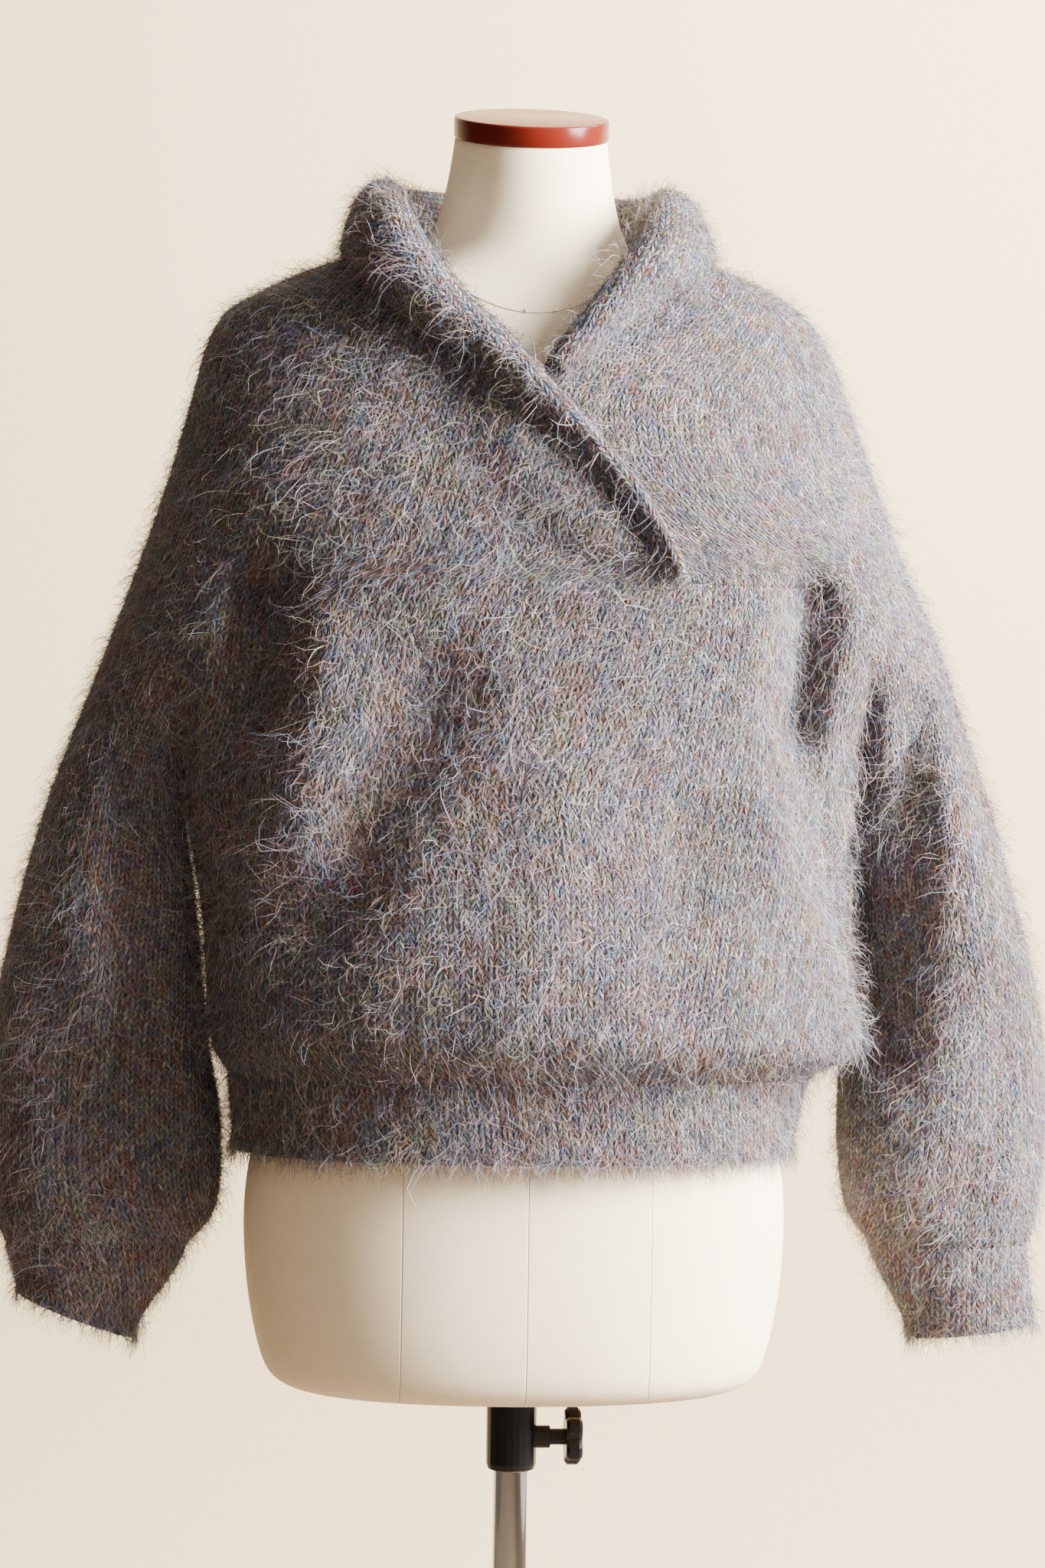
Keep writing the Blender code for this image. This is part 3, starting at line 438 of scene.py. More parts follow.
def back_grid():
    """The back from crease to crease."""
    z, spread = body_heights()
    left, right = crease_x(LEFT, BACK, z, spread), crease_x(RIGHT, BACK, z, spread)
    t = np.linspace(-1, 1, BACK_COLUMNS + 1)[None, :]
    x = (left + right) / 2 + (right - left) / 2 * (0.6 * t + 0.4 * np.sin(t * math.pi / 2))
    return body_points(x, z + 0 * x, BACK)


def side_grid(front_column, back_column):
    """Straight cloth between the front's last column and the back's."""
    t = np.linspace(0, 1, SIDE_COLUMNS + 1)[None, :, None]
    return front_column[:, None] + t * (back_column - front_column)[:, None]


def sleeve_grid(side):
    """A sleeve, its columns running from the outer line round the arm."""
    _, part, z = arm_rows(SLEEVE_ROWS, ARM_COLUMNS)
    front = arm_points(part, 1.0, z, side, FRONT)
    back = arm_points(part, 1.0, z, side, BACK)[:, ::-1]
    inner = side_grid(front[:, -1], back[:, 0])
    return np.concatenate([front, inner[:, 1:-1], back], axis=1)


def cuff_grid(side, top):
    """A cuff from the sleeve's last row down to its slanting lower edge."""
    outer_x, outer_z, inner_x, inner_z, middle, depth = CUFF_ENDS[side]
    start_x, end_x = top[0, 0], top[len(top) // 2, 0]
    part = (top[:, 0] - start_x) / (end_x - start_x)
    top_middle, top_depth = arm_line(SLEEVE_ROWS[-1][0], side)[2:]
    low = np.stack([
        outer_x + part * (inner_x - outer_x),
        middle + (top[:, 1] - top_middle) / top_depth * depth,
        outer_z + part * (inner_z - outer_z),
    ], axis=-1)
    t = np.linspace(0, 1, CUFF_ROWS_DOWN + 1)[:, None, None]
    swell = 0.35 * t + 0.65 * smooth_step(t)
    points = top[None] + t * (low - top)[None]
    points[..., :2] = top[None, :, :2] + swell * (low - top)[None, :, :2]
    return points


def body_size(z):
    """Left edge, right edge, front and back depth of the body at this height."""
    edges, depth = read_table(BODY_EDGE, z), read_table(BODY_DEPTH, z)
    return edges[0], edges[2], depth[0], depth[1]


def band_grid(ring):
    """The hem band under the body's last row, drawn in to the hips."""
    grid = [ring]
    start = body_size(BAND_ROWS[0])
    for z in finer(BAND_ROWS)[1:]:
        size = body_size(z)
        across = np.where(ring[:, 0] < 0, size[0] / start[0], size[1] / start[1])
        deep = np.where(ring[:, 1] < 0, size[2] / start[2], size[3] / start[3])
        level = np.full(len(ring), float(z))
        grid.append(np.stack([ring[:, 0] * across, ring[:, 1] * deep, level], axis=-1))
    return np.array(grid)


def foot(x, z, face):
    """Where a collar foot stands on the cloth, and the cloth's outward normal there."""
    x, z = np.array([float(x)]), np.array([float(z)])
    here = body_points(x, z, face)[0]
    if face == FRONT and x[0] < read_table(LAP_EDGES, z)[0][0] + LAP_EDGE_REACH:
        here[1] -= lap_rise(x, z)[0]
    step = 0.5
    across = body_points(x + step, z, face)[0] - body_points(x - step, z, face)[0]
    up = body_points(x, z + step, face)[0] - body_points(x, z - step, face)[0]
    normal = np.cross(across, up)
    return here, normal * face * np.sign(normal[1]) / np.linalg.norm(normal)


def collar_grid():
    """The collar, a rolled strip of cloth with a row for each station."""
    turn = np.linspace(0, math.pi, COLLAR_SPAN + 1)
    swing = np.sign(np.cos(turn)) * np.abs(np.cos(turn)) ** COLLAR_FULLNESS
    rise = np.sin(turn) ** COLLAR_FULLNESS
    grid = []
    for number, (x0, z0, x1, z1, height, shift) in enumerate(COLLAR_STATIONS):
        face = BACK if number in COLLAR_BEHIND else FRONT
        inner, inner_normal = foot(x0, z0, face)
        outer, outer_normal = foot(x1, z1, face)
        upright = smooth_step((height - COLLAR_LIES) / (COLLAR_STANDS - COLLAR_LIES))
        inner = inner + COLLAR_CLEAR * inner_normal + 0.5 * UP
        outer = outer + (COLLAR_CLEAR + 1.5 * COLLAR_WALL * upright) * outer_normal
        outer = outer + COLLAR_WALL * upright * UP
        middle, half = (inner + outer) / 2, (outer - inner) / 2
        way = (1 - upright) * (inner_normal + outer_normal) / 2 + upright * UP
        crest = height * way / np.linalg.norm(way) - shift * 2 * half * np.array([1, 1, 0])
        grid.append(middle - half * swing[:, None] + crest * rise[:, None])
    grid = np.array(grid)
    count = len(grid)
    smooth = np.arange(0, count - 1 + 0.5 / COLLAR_FINER, 1 / COLLAR_FINER)
    table = np.concatenate([np.arange(count)[:, None], grid.reshape(count, -1)], axis=1)
    return read_table(table, smooth).T.reshape(len(smooth), COLLAR_SPAN + 1, 3)


class Cloth:
    """Grids of points that share corners, from which thin pieces of cloth are cut."""

    def __init__(self):
        self.points = []
        self.index = {}
        self.pieces = {}
        self.charts = {}

    def corner(self, point):
        """The number of this corner, the same for grids that meet there."""
        key = tuple(int(round(c * 20)) for c in point)
        if key not in self.index:
            self.index[key] = len(self.points)
            self.points.append(point)
        return self.index[key]

    def add(self, piece, grid, flip=False, closed=False):
        """Add a grid's faces to a piece, outer side out, with the stitch count at each corner."""
        if closed:
            grid = np.concatenate([grid, grid[:, :1]], axis=1)
        rows, columns = grid.shape[:2]
        number = [[self.corner(grid[r, c]) for c in range(columns)] for r in range(rows)]
        across = np.linalg.norm(np.diff(grid, axis=1), axis=-1)
        across = np.concatenate([np.zeros((rows, 1)), np.cumsum(across, axis=1)], axis=1)
        down = np.linalg.norm(np.diff(grid, axis=0), axis=-1).mean(axis=1)
        down = np.concatenate([[0.0], np.cumsum(down)])
        faces = self.pieces.setdefault(piece, [])
        charts = self.charts.setdefault(piece, [])
        for r in range(rows - 1):
            for c in range(columns - 1):
                corners = [(r, c), (r + 1, c), (r + 1, c + 1), (r, c + 1)]
                face = [number[i][j] for i, j in corners]
                chart = [(across[i, j], down[i]) for i, j in corners]
                kept = [i for i in range(4) if face[i] != face[i - 1]]
                if len(kept) < 3:
                    continue
                kept = kept[::-1] if flip else kept
                faces.append([face[i] for i in kept])
                charts.append([chart[i] for i in kept])

    def normals(self):
        """Corner normals over all the pieces, so that the cloth runs on over its seams."""
        points = np.array(self.points)
        normals = np.zeros_like(points)
        for faces in self.pieces.values():
            for face in faces:
                corners = points[face]
                normal = np.cross(corners[2] - corners[0], corners[-1] - corners[1])
                for v in face:
                    normals[v] += normal
        return normals / np.maximum(np.linalg.norm(normals, axis=1), 1e-9)[:, None]


def beside_arm(points):
    """Where a sleeve and the body's side hang against each other."""
    away = np.abs(np.abs(points[:, 0]) - ARM_GAP_X)
    return (away < ARM_GAP_HALF) & (points[:, 2] < SPLIT_Z) & (points[:, 2] > HEM_TOP_Z)


class Piece:
    """One piece of cloth: its outer points, their normals, its faces and its stitch counts."""

    def __init__(self, cloth, name, normals, inset=CLOTH_INSET):
        self.name = name
        faces = cloth.pieces[name]
        used = sorted({v for face in faces for v in face})
        order = {v: i for i, v in enumerate(used)}
        self.normals = normals[used]
        points = np.array(cloth.points)[used]
        inset = np.where(beside_arm(points), BESIDE_INSET, inset)[:, None]
        self.points = points - inset * self.normals
        self.faces = [[order[v] for v in face] for face in faces]
        self.charts = cloth.charts[name]

    def walled(self):
        """Points, faces and charts of the closed thin shell."""
        count = len(self.points)
        edges = {(face[i - 1], v) for face in self.faces for i, v in enumerate(face)}
        rim = [(a, b) for a, b in edges if (b, a) not in edges]
        points = np.concatenate([self.points, self.points - CLOTH_WALL * self.normals])
        faces = list(self.faces)
        faces += [[v + count for v in reversed(face)] for face in self.faces]
        faces += [[b, a, a + count, b + count] for a, b in sorted(rim)]
        charts = list(self.charts) + [chart[::-1] for chart in self.charts]
        charts += [[(0.0, 0.0)] * 4 for _ in rim]
        return points, faces, charts


def cut_cloth():
    """Every piece of the sweater, by name."""
    cloth = Cloth()
    lap_row = LAP_ROW * FINER
    split_row = (len(YOKE_ROWS) - 1) * FINER
    front_left = front_grid(LEFT, FRONT_COLUMNS)
    front_right = front_grid(RIGHT, UNDER_COLUMNS)[:, ::-1]
    back = back_grid()
    side_left = side_grid(front_left[split_row:, 0], back[split_row:, 0])
    side_right = side_grid(front_right[split_row:, -1], back[split_row:, -1])
    cloth.add("front", front_left)
    cloth.add("front", front_right[lap_row:])
    cloth.add("under_front", front_right[:lap_row + 1])
    cloth.add("front", side_left[:, :SIDE_SEAM + 1], flip=True)
    cloth.add("front", side_right[:, :SIDE_SEAM + 1])
    cloth.add("back", back, flip=True)
    cloth.add("back", side_left[:, SIDE_SEAM:], flip=True)
    cloth.add("back", side_right[:, SIDE_SEAM:])
    for side, name in ((LEFT, "right"), (RIGHT, "left")):
        yoke = yoke_grid(side, FRONT)
        if side == LEFT:
            cloth.add("front", yoke)
        else:
            cloth.add("under_front", yoke[:lap_row + 1], flip=True)
            cloth.add("front", yoke[lap_row:], flip=True)
        cloth.add("back", yoke_grid(side, BACK), flip=side == LEFT)
        sleeve = sleeve_grid(side)
        cloth.add("sleeve_" + name, sleeve[:, :-1], flip=side == RIGHT, closed=True)
        cuff = cuff_grid(side, sleeve[-1, :-1])
        cloth.add("cuff_" + name, cuff, flip=side == RIGHT, closed=True)
    lowest = [front_left[-1], front_right[-1], side_right[-1], back[-1, ::-1], side_left[-1, ::-1]]
    ring = np.concatenate([lowest[0]] + [row[1:] for row in lowest[1:]])[:-1]
    cloth.add("hem_band", band_grid(ring), closed=True)
    normals = cloth.normals()
    pieces = [Piece(cloth, name, normals) for name in cloth.pieces]
    roll = Cloth()
    roll.add("shawl_collar", collar_grid())
    return pieces + [Piece(roll, "shawl_collar", roll.normals(), CLOTH_INSET - COLLAR_WALL)]


# Meshes and materials


def tone(red, green, blue):
    """A screen colour as the light that it reflects."""
    return tuple((c / 255 / 12.92) if c <= 10 else ((c / 255 + 0.055) / 1.055) ** 2.4
                 for c in (red, green, blue)) + (1.0,)


class Nodes:
    """A node tree to which nodes are added."""

    def __init__(self, tree):
        self.nodes = tree.nodes
        self.links = tree.links

    def put(self, socket, value):
        """Set a socket, or link it to the output of another node."""
        if isinstance(value, bpy.types.NodeSocket):
            self.links.new(value, socket)
        else:
            socket.default_value = value

    def node(self, kind, inputs, output=0, **settings):
        """Add a node with these inputs and settings, and return one of its outputs."""
        node = self.nodes.new("ShaderNode" + kind)
        for name, value in settings.items():
            setattr(node, name, value)
        for name, value in inputs.items():
            self.put(node.inputs[name], value)
        return node.outputs[output]

    def math(self, operation, *values):
        """One Math node."""
        return self.node("Math", dict(enumerate(values)), operation=operation)

    def mix(self, factor, first, second, blend="MIX"):
        """A mix of two colours."""
        inputs = {0: factor, 6: first, 7: second}
        return self.node("Mix", inputs, 2, data_type="RGBA", blend_type=blend)

    def noise(self, place, scale, detail):
        """A noise texture's value."""
        return self.node("TexNoise", {"Vector": place, "Scale": scale, "Detail": detail}, "Fac")

    def ramp(self, factor, stops):
        """Colours along a factor."""
        node = self.nodes.new("ShaderNodeValToRGB")
        self.put(node.inputs["Fac"], factor)
        points = node.color_ramp.elements
        while len(points) < len(stops):
            points.new(1.0)
        for point, (place, colour) in zip(points, stops):
            point.position = place
            point.color = colour
        return node.outputs["Color"]

    def split(self, vector):
        """A vector's three parts."""
        node = self.nodes.new("ShaderNodeSeparateXYZ")
        self.put(node.inputs[0], vector)
        return node.outputs

    def place(self, kind="Object"):
        """Texture coordinates, which are metres if they are the object's."""
        return self.node("TexCoord", {}, kind)


class Shade(Nodes):
    """A node material that is built up from its Principled shader."""

    def __init__(self, name, colour, roughness, metallic=0.0):
        self.material = bpy.data.materials.new(name)
        self.material.use_nodes = True
        super().__init__(self.material.node_tree)
        self.shader = self.nodes["Principled BSDF"]
        self.set("Base Color", colour)
        self.set("Roughness", roughness)
        self.set("Metallic", metallic)

    def set(self, name, value):
        """Set or link an input of the shader."""
        self.put(self.shader.inputs[name], value)

    def chart(self, name):
        """The piece's own UV map of this name."""
        return self.node("UVMap", {}, "UV", uv_map=name)

    def bump(self, height, strength, distance):
        """Raise the surface by a height."""
        inputs = {"Height": height, "Strength": strength, "Distance": distance}
        self.set("Normal", self.node("Bump", inputs, "Normal"))


def yarn_stops():
    """The yarns' colours along a ramp."""
    last = len(YARNS) - 1
    return [(i / last, tone(*yarn)) for i, yarn in enumerate(YARNS)]


def knit_shade():
    """Stocking stitch in mixed yarn: slanting legs in columns, with painted shade in the hollows between
    them.
    """
    shade = Shade("mohair_knit", tone(110, 102, 108), 0.95)
    across, down, _ = shade.split(shade.chart("Knit"))
    column = shade.math("DIVIDE", across, STITCH_WIDE / 2)
    leg = shade.math("FRACT", column)
    slant = shade.math("PINGPONG", column, 1.0)
    row = shade.math("ADD", shade.math("DIVIDE", down, STITCH_HIGH), slant)
    step = shade.math("FRACT", row)
    cell = {0: shade.math("FLOOR", column), 1: shade.math("FLOOR", row)}
    cell = shade.node("CombineXYZ", cell)
    white = shade.node("TexWhiteNoise", {"Vector": cell}, "Value", noise_dimensions="2D")
    yarn = shade.ramp(white, yarn_stops())
    hump = shade.math("MULTIPLY", shade.math("SINE", shade.math("MULTIPLY", leg, math.pi)),
                      shade.math("SINE", shade.math("MULTIPLY", step, math.pi)))
    # Painted shade: the yarn colour is darkened towards the edges of each stitch leg and row, where the
    # hollows between them lie
    depth = shade.ramp(hump, [(0.0, (0.10, 0.09, 0.10, 1)), (1.0, (0.75, 0.75, 0.75, 1))])
    shade.set("Base Color", shade.mix(1.0, yarn, depth, "MULTIPLY"))
    shade.bump(hump, 0.8, 0.0012)
    return shade.material


def nap_shade():
    """Mohair fibres: the yarn colour runs along the chart and the brightness up it, a brightness that
    holds painted shade at the fibres' roots and between stitch columns.
    """
    shade = Shade("mohair_nap", tone(150, 145, 150), 0.62)
    shade.set("Sheen Weight", 0.25)
    shade.set("Sheen Roughness", 0.4)
    shade.set("Specular IOR Level", 0.35)
    yarn, light, _ = shade.split(shade.chart("OFBake"))
    level = shade.ramp(light, [
        (0.0, (0.12, 0.11, 0.12, 1)), (0.5, (0.5, 0.5, 0.5, 1)), (1.0, (1, 1, 1, 1)),
    ])
    colour = shade.mix(1.0, shade.ramp(yarn, yarn_stops()), (1.26, 1.20, 1.15, 1), "MULTIPLY")
    shade.set("Base Color", shade.mix(1.0, colour, level, "MULTIPLY"))
    return shade.material


def cover_shade():
    """Cream cotton: a fine weave, faint slubs and the form's long seams."""
    shade = Shade("cotton_cover", tone(228, 219, 203), 0.86)
    shade.set("Sheen Weight", 0.15)
    place = shade.place()
    x, y, z = shade.split(place)
    slub = shade.noise(place, 90.0, 4.0)
    warp = shade.math("SINE", shade.math("MULTIPLY", shade.math("ADD", x, y), WEAVE_TURNS))
    weft = shade.math("SINE", shade.math("MULTIPLY", z, WEAVE_TURNS))
    weave = shade.math("MULTIPLY", weft, warp)
    aside = shade.math("ABSOLUTE", x)
    middle = shade.math("SUBTRACT", 1.0, shade.math("MULTIPLY", aside, 1500.0))
    middle = shade.math("MULTIPLY", middle, shade.math("LESS_THAN", z, FRONT_SEAM_TOP))
    panel = shade.math("ABSOLUTE", shade.math("SUBTRACT", aside, PANEL_SEAM_X))
    panel = shade.math("SUBTRACT", 1.0, shade.math("MULTIPLY", panel, 1400.0))
    seam = shade.math("MAXIMUM", shade.math("MAXIMUM", middle, panel), 0.0)
    cream = shade.mix(slub, tone(246, 225, 187), tone(252, 235, 204))
    dark = shade.math("MULTIPLY", seam, 0.5)
    shade.set("Base Color", shade.mix(dark, cream, tone(176, 162, 140)))
    height = shade.math("ADD", shade.math("MULTIPLY", weave, 0.25), slub)
    height = shade.math("SUBTRACT", height, shade.math("MULTIPLY", seam, 1.4))
    shade.bump(height, 0.5, 0.0004)
    return shade.material


def hard_shade(name, colour, roughness, metallic=0.0, specular=0.5, depth=0.00005):
    """Plastic, lacquer, enamel or chrome with a little grain and uneven gloss."""
    shade = Shade(name, colour, roughness, metallic)
    shade.set("Specular IOR Level", specular)
    place = shade.place()
    cloud = shade.noise(place, 22.0, 4.0)
    fine = shade.noise(place, 400.0, 2.0)
    lighter = tuple(min(1.0, c * 1.18) for c in colour[:3]) + (1.0,)
    shade.set("Base Color", shade.mix(cloud, colour, lighter))
    gloss = shade.math("MULTIPLY_ADD", cloud, roughness * 0.4, roughness * 0.8)
    shade.set("Roughness", gloss)
    shade.bump(fine, 0.4, depth)
    return shade.material


def new_object(name, data):
    """An object of this data, in the scene."""
    made = bpy.data.objects.new(name, data)
    bpy.context.scene.collection.objects.link(made)
    return made


def add_mesh(name, points, loops, starts, material, chart_name, chart):
    """An object of polygons given by loop lists, in millimetres, with one UV map."""
    mesh = bpy.data.meshes.new(name)
    mesh.vertices.add(len(points))
    mesh.vertices.foreach_set("co", (np.asarray(points) * MM).astype(np.float32).ravel())
    mesh.loops.add(len(loops))
    mesh.loops.foreach_set("vertex_index", np.asarray(loops, np.int32))
    mesh.polygons.add(len(starts))
    mesh.polygons.foreach_set("loop_start", np.asarray(starts, np.int32))
    mesh.update(calc_edges=True)
    layer = mesh.uv_layers.new(name=chart_name)
    layer.data.foreach_set("uv", np.asarray(chart, np.float32).ravel())
    mesh.shade_smooth()
    mesh.materials.append(material)
    return new_object(name, mesh)


def add_shell(piece, material):
    """The thin knitted shell of one piece of cloth."""
    points, faces, charts = piece.walled()
    loops = [v for face in faces for v in face]
    starts = np.cumsum([0] + [len(face) for face in faces[:-1]])
    chart = [place for chart in charts for place in chart]
    return add_mesh(piece.name + "_knit", points, loops, starts, material, "Knit", chart)


# The nap


class Waves:
    """Smooth unevenness over space: a sum of sine waves in fixed directions."""

    def __init__(self, seed, length, count=7):
        dice = np.random.default_rng(seed)
        way = dice.normal(size=(count, 3))
        way /= np.linalg.norm(way, axis=1)[:, None]
        self.way = way * 2 * math.pi / (length * dice.uniform(0.6, 1.6, (count, 1)))
        self.phase = dice.uniform(0, 2 * math.pi, count)

    def at(self, points):
        """About -1 to 1 at each point."""
        waves = np.sin(points @ self.way.T + self.phase)
        return waves.sum(axis=1) / math.sqrt(len(self.phase) / 2) / 1.6


# The nap's whirls and drift, its tint in large and small patches, and its light and dark
SWIRL = Waves(3, 150.0)
DRIFT = Waves(5, 46.0)
TINT = Waves(8, 70.0)
PATCH = Waves(9, 24.0)
SHADE = Waves(12, 110.0)

# Mean turn of the nap and of the wisps from the grain, and the longest of the single strays
NAP_LEAN = -0.06
WISP_LEAN = -0.35
STRAY_REACH = 27.0
HAIRS_IN_WISP = 3

# Kinds of fibre: number per square millimetre, least and most length and width in millimetres,
# most roll to either side, and least and most brightness
Fibre = namedtuple("Fibre", "per_mm2 length width roll light")
NAP = Fibre(0.29, (3.8, 8.0), (0.26, 0.56), 0.6, (0.0, 0.68))
FUZZ = Fibre(0.080, (8.0, 21.0), (0.15, 0.30), 1.2, (0.1, 0.7))
RIM = Fibre(0.6, (8.0, 21.0), (0.15, 0.30), 1.2, (0.1, 0.7))
HAIRS = Fibre(0.024, (16.0, 42.0), (0.10, 0.21), 1.2, (0.3, 0.68))
RIM_PIECES = ["hem_band", "cuff_left", "cuff_right"]


class Roots:
    """Places on a piece of cloth where fibres start: position, normal, grain and stitch count."""

    def __init__(self, piece, dice):
        self.name = piece.name
        self.dice = dice
        corners, charts = [], []
        for face, chart in zip(piece.faces, piece.charts):
            for i in range(1, len(face) - 1):
                corners.append((face[0], face[i], face[i + 1]))
                charts.append((chart[0], chart[i], chart[i + 1]))
        self.corners = np.array(corners)
        self.charts = np.array(charts, float)
        self.points = piece.points
        self.normals = piece.normals
        a, b, c = (self.points[self.corners[:, i]] for i in range(3))
        self.area = np.linalg.norm(np.cross(b - a, c - a), axis=1) / 2
        self.across, self.down = self.ways(b - a, c - a)
        down = self.charts[:, :, 1].mean(axis=1)
        self.at_rim = down > down.max() - RIM_HIGH

    def ways(self, one, two):
        """The directions in which each triangle's columns and rows of stitches follow."""
        u1, v1 = (self.charts[:, 1] - self.charts[:, 0]).T
        u2, v2 = (self.charts[:, 2] - self.charts[:, 0]).T
        spin = u1 * v2 - u2 * v1
        spin = np.where(np.abs(spin) < 1e-6, 1e-6, spin)[:, None]
        across = (one * v2[:, None] - two * v1[:, None]) / spin
        return across, (two * u1[:, None] - one * u2[:, None]) / spin

    def draw(self, count, rim=False):
        """Random roots, evenly over the cloth or over the rows at its lower rim."""
        area = self.area * self.at_rim if rim else self.area
        share = np.cumsum(area) / area.sum()
        pick = np.searchsorted(share, self.dice.random(count))
        pick = np.minimum(pick, len(self.area) - 1)
        r, s = self.dice.random((2, count))
        turn = r + s > 1
        r, s = np.where(turn, 1 - r, r), np.where(turn, 1 - s, s)
        weights = np.stack([1 - r - s, r, s], axis=1)
        place = (self.points[self.corners[pick]] * weights[..., None]).sum(axis=1)
        normal = unit((self.normals[self.corners[pick]] * weights[..., None]).sum(axis=1))
        stitch = (self.charts[pick] * weights[..., None]).sum(axis=1)
        grain = unit(self.down[pick])
        if self.name == "shawl_collar":
            along = grain * np.where(grain[:, 2:] > 0, -1.0, 1.0)
            lapel = smooth_step((LAPEL_TOP - place[:, 2:]) / LAPEL_BLEND)
            over = unit(self.across[pick]) - 0.7 * UP
            grain = lapel * along + (1 - lapel) * over
        else:
            grain = grain - UP
        grain = unit(grain - normal * (grain * normal).sum(axis=1)[:, None])
        return place, normal, grain, stitch


def unit(vectors):
    """Vectors of length 1."""
    return vectors / np.maximum(np.linalg.norm(vectors, axis=-1), 1e-9)[..., None]


def grow(place, normal, grain, length, turn, curl, wave, rise, fall, droop, segments):
    """Points along each fibre from its root over the cloth, curling one way and waving both."""
    side = np.cross(normal, grain)
    here = place.copy()
    run = [here]
    for i in range(segments):
        t = (i + 0.5) / segments
        angle = (turn + curl * t + wave * math.sin(2 * math.pi * t))[:, None]
        lift = (rise + (fall - rise) * t)[:, None]
        flat = np.cos(angle) * grain + np.sin(angle) * side
        step = np.cos(lift) * flat + np.sin(lift) * normal
        step = step - droop[:, None] * t * UP
        here = here + unit(step) * (length / segments)[:, None]
        run.append(here)
    return np.stack(run, axis=1)


def ribbons(roots, ending, run, normal, kind, yarn, light, material):
    """Tapering ribbons along runs of points, with yarn colour and brightness in their chart; the
    brightness rises from root to tip as painted shade at the roots.
    """
    count, steps = run.shape[0], run.shape[1] - 1
    width = roots.dice.uniform(*kind.width, count)
    roll = roots.dice.uniform(-kind.roll, kind.roll, count)
    yarn, light = yarn % 1.0, np.clip(light, *kind.light)
    way = unit(np.gradient(run, axis=1))
    out = unit(normal[:, None] + 0 * run)
    side = unit(np.cross(way, out))
    face = unit(np.cross(side, way))
    turn = roll[:, None, None]
    side = np.cos(turn) * side + np.sin(turn) * face
    t = np.linspace(0, 1, steps + 1)[None, :-1, None]
    half = 0.5 * width[:, None, None] * (1 - 0.6 * t**2)
    left, right = run[:, :-1] - half * side[:, :-1], run[:, :-1] + half * side[:, :-1]
    sides = np.stack([left, right], axis=2).reshape(count, -1, 3)
    points = np.concatenate([sides, run[:, -1:]], axis=1).reshape(-1, 3)
    each = 2 * steps + 1
    loops = []
    for i in range(steps - 1):
        loops += [2 * i, 2 * i + 1, 2 * i + 3, 2 * i + 2]
    loops += [2 * steps - 2, 2 * steps - 1, 2 * steps]
    starts = [4 * i for i in range(steps)]
    base = np.arange(count)[:, None]
    all_loops = (base * each + np.array(loops)[None]).ravel()
    all_starts = (base * len(loops) + np.array(starts)[None]).ravel()
    u = np.concatenate([np.tile([-0.004, 0.004], steps), [0.0]])
    v = np.concatenate([np.repeat(np.arange(steps) / steps, 2), [1.0]])
    corner_u = np.clip(yarn[:, None] + u[None], 0.002, 0.998)
    # Painted shade: each fibre is darker at its root and brighter towards its tip
    corner_v = np.clip(light[:, None] + 0.3 * v[None], 0.002, 0.998)
    chart = np.stack([corner_u, corner_v], axis=-1)[:, loops].reshape(-1, 2)
    name = roots.name + ending
    return add_mesh(name, points, all_loops, all_starts, material, "OFBake", chart)


def hashed(column, row, seed):
    """A fixed random number from 0 to 1 for each stitch."""
    return np.modf(np.abs(np.sin(column * 12.9898 + row * 78.233 + seed) * 43758.5453))[0]


def stitch_nap(roots, material):
    """Short fibres along the legs of the stitches, with painted shade that darkens them towards the
    edges of each column.
    """
    dice = roots.dice
    count = int(NAP.per_mm2 * roots.area.sum())
    place, normal, grain, stitch = roots.draw(count)
    column = np.floor(stitch[:, 0] / (STITCH_WIDE / 2))
    row = np.floor(stitch[:, 1] / STITCH_HIGH)
    slant = np.where(column % 2 == 0, STITCH_SLANT, -STITCH_SLANT)
    yarn = 0.28 * hashed(column, row, 0.0) + 0.34 * TINT.at(place) + 0.22 * PATCH.at(place)
    yarn = yarn + 0.12 * dice.normal(size=count)
    across = np.abs(np.modf(np.abs(stitch[:, 0]) / STITCH_WIDE)[0] - 0.5)
    # Painted shade: fibres near the edges of a stitch column are made darker, as in the grooves between
    # columns
    light = 0.15 + 0.18 * hashed(column, row, 1.7) - 0.20 * across + 0.10 * SHADE.at(place)
    light = light + 0.13 * dice.normal(size=count)
    centre = (column + 0.5) * STITCH_WIDE / 2 - stitch[:, 0]
    place = place + 0.5 * centre[:, None] * np.cross(normal, grain)
    length = dice.uniform(*NAP.length, count)
    turn = slant + NAP_LEAN + 0.25 * SWIRL.at(place) + 0.20 * DRIFT.at(place)
    turn = turn + dice.normal(0, 0.62, count)
    rise = dice.uniform(0.1, 0.9, count)
    fall = dice.uniform(-0.1, 0.4, count)
    still = np.zeros(count)
    run = grow(place, normal, grain, length, turn, still, still, rise, fall, still, 1)
    return ribbons(roots, "_nap", run, normal, NAP, yarn, light, material)


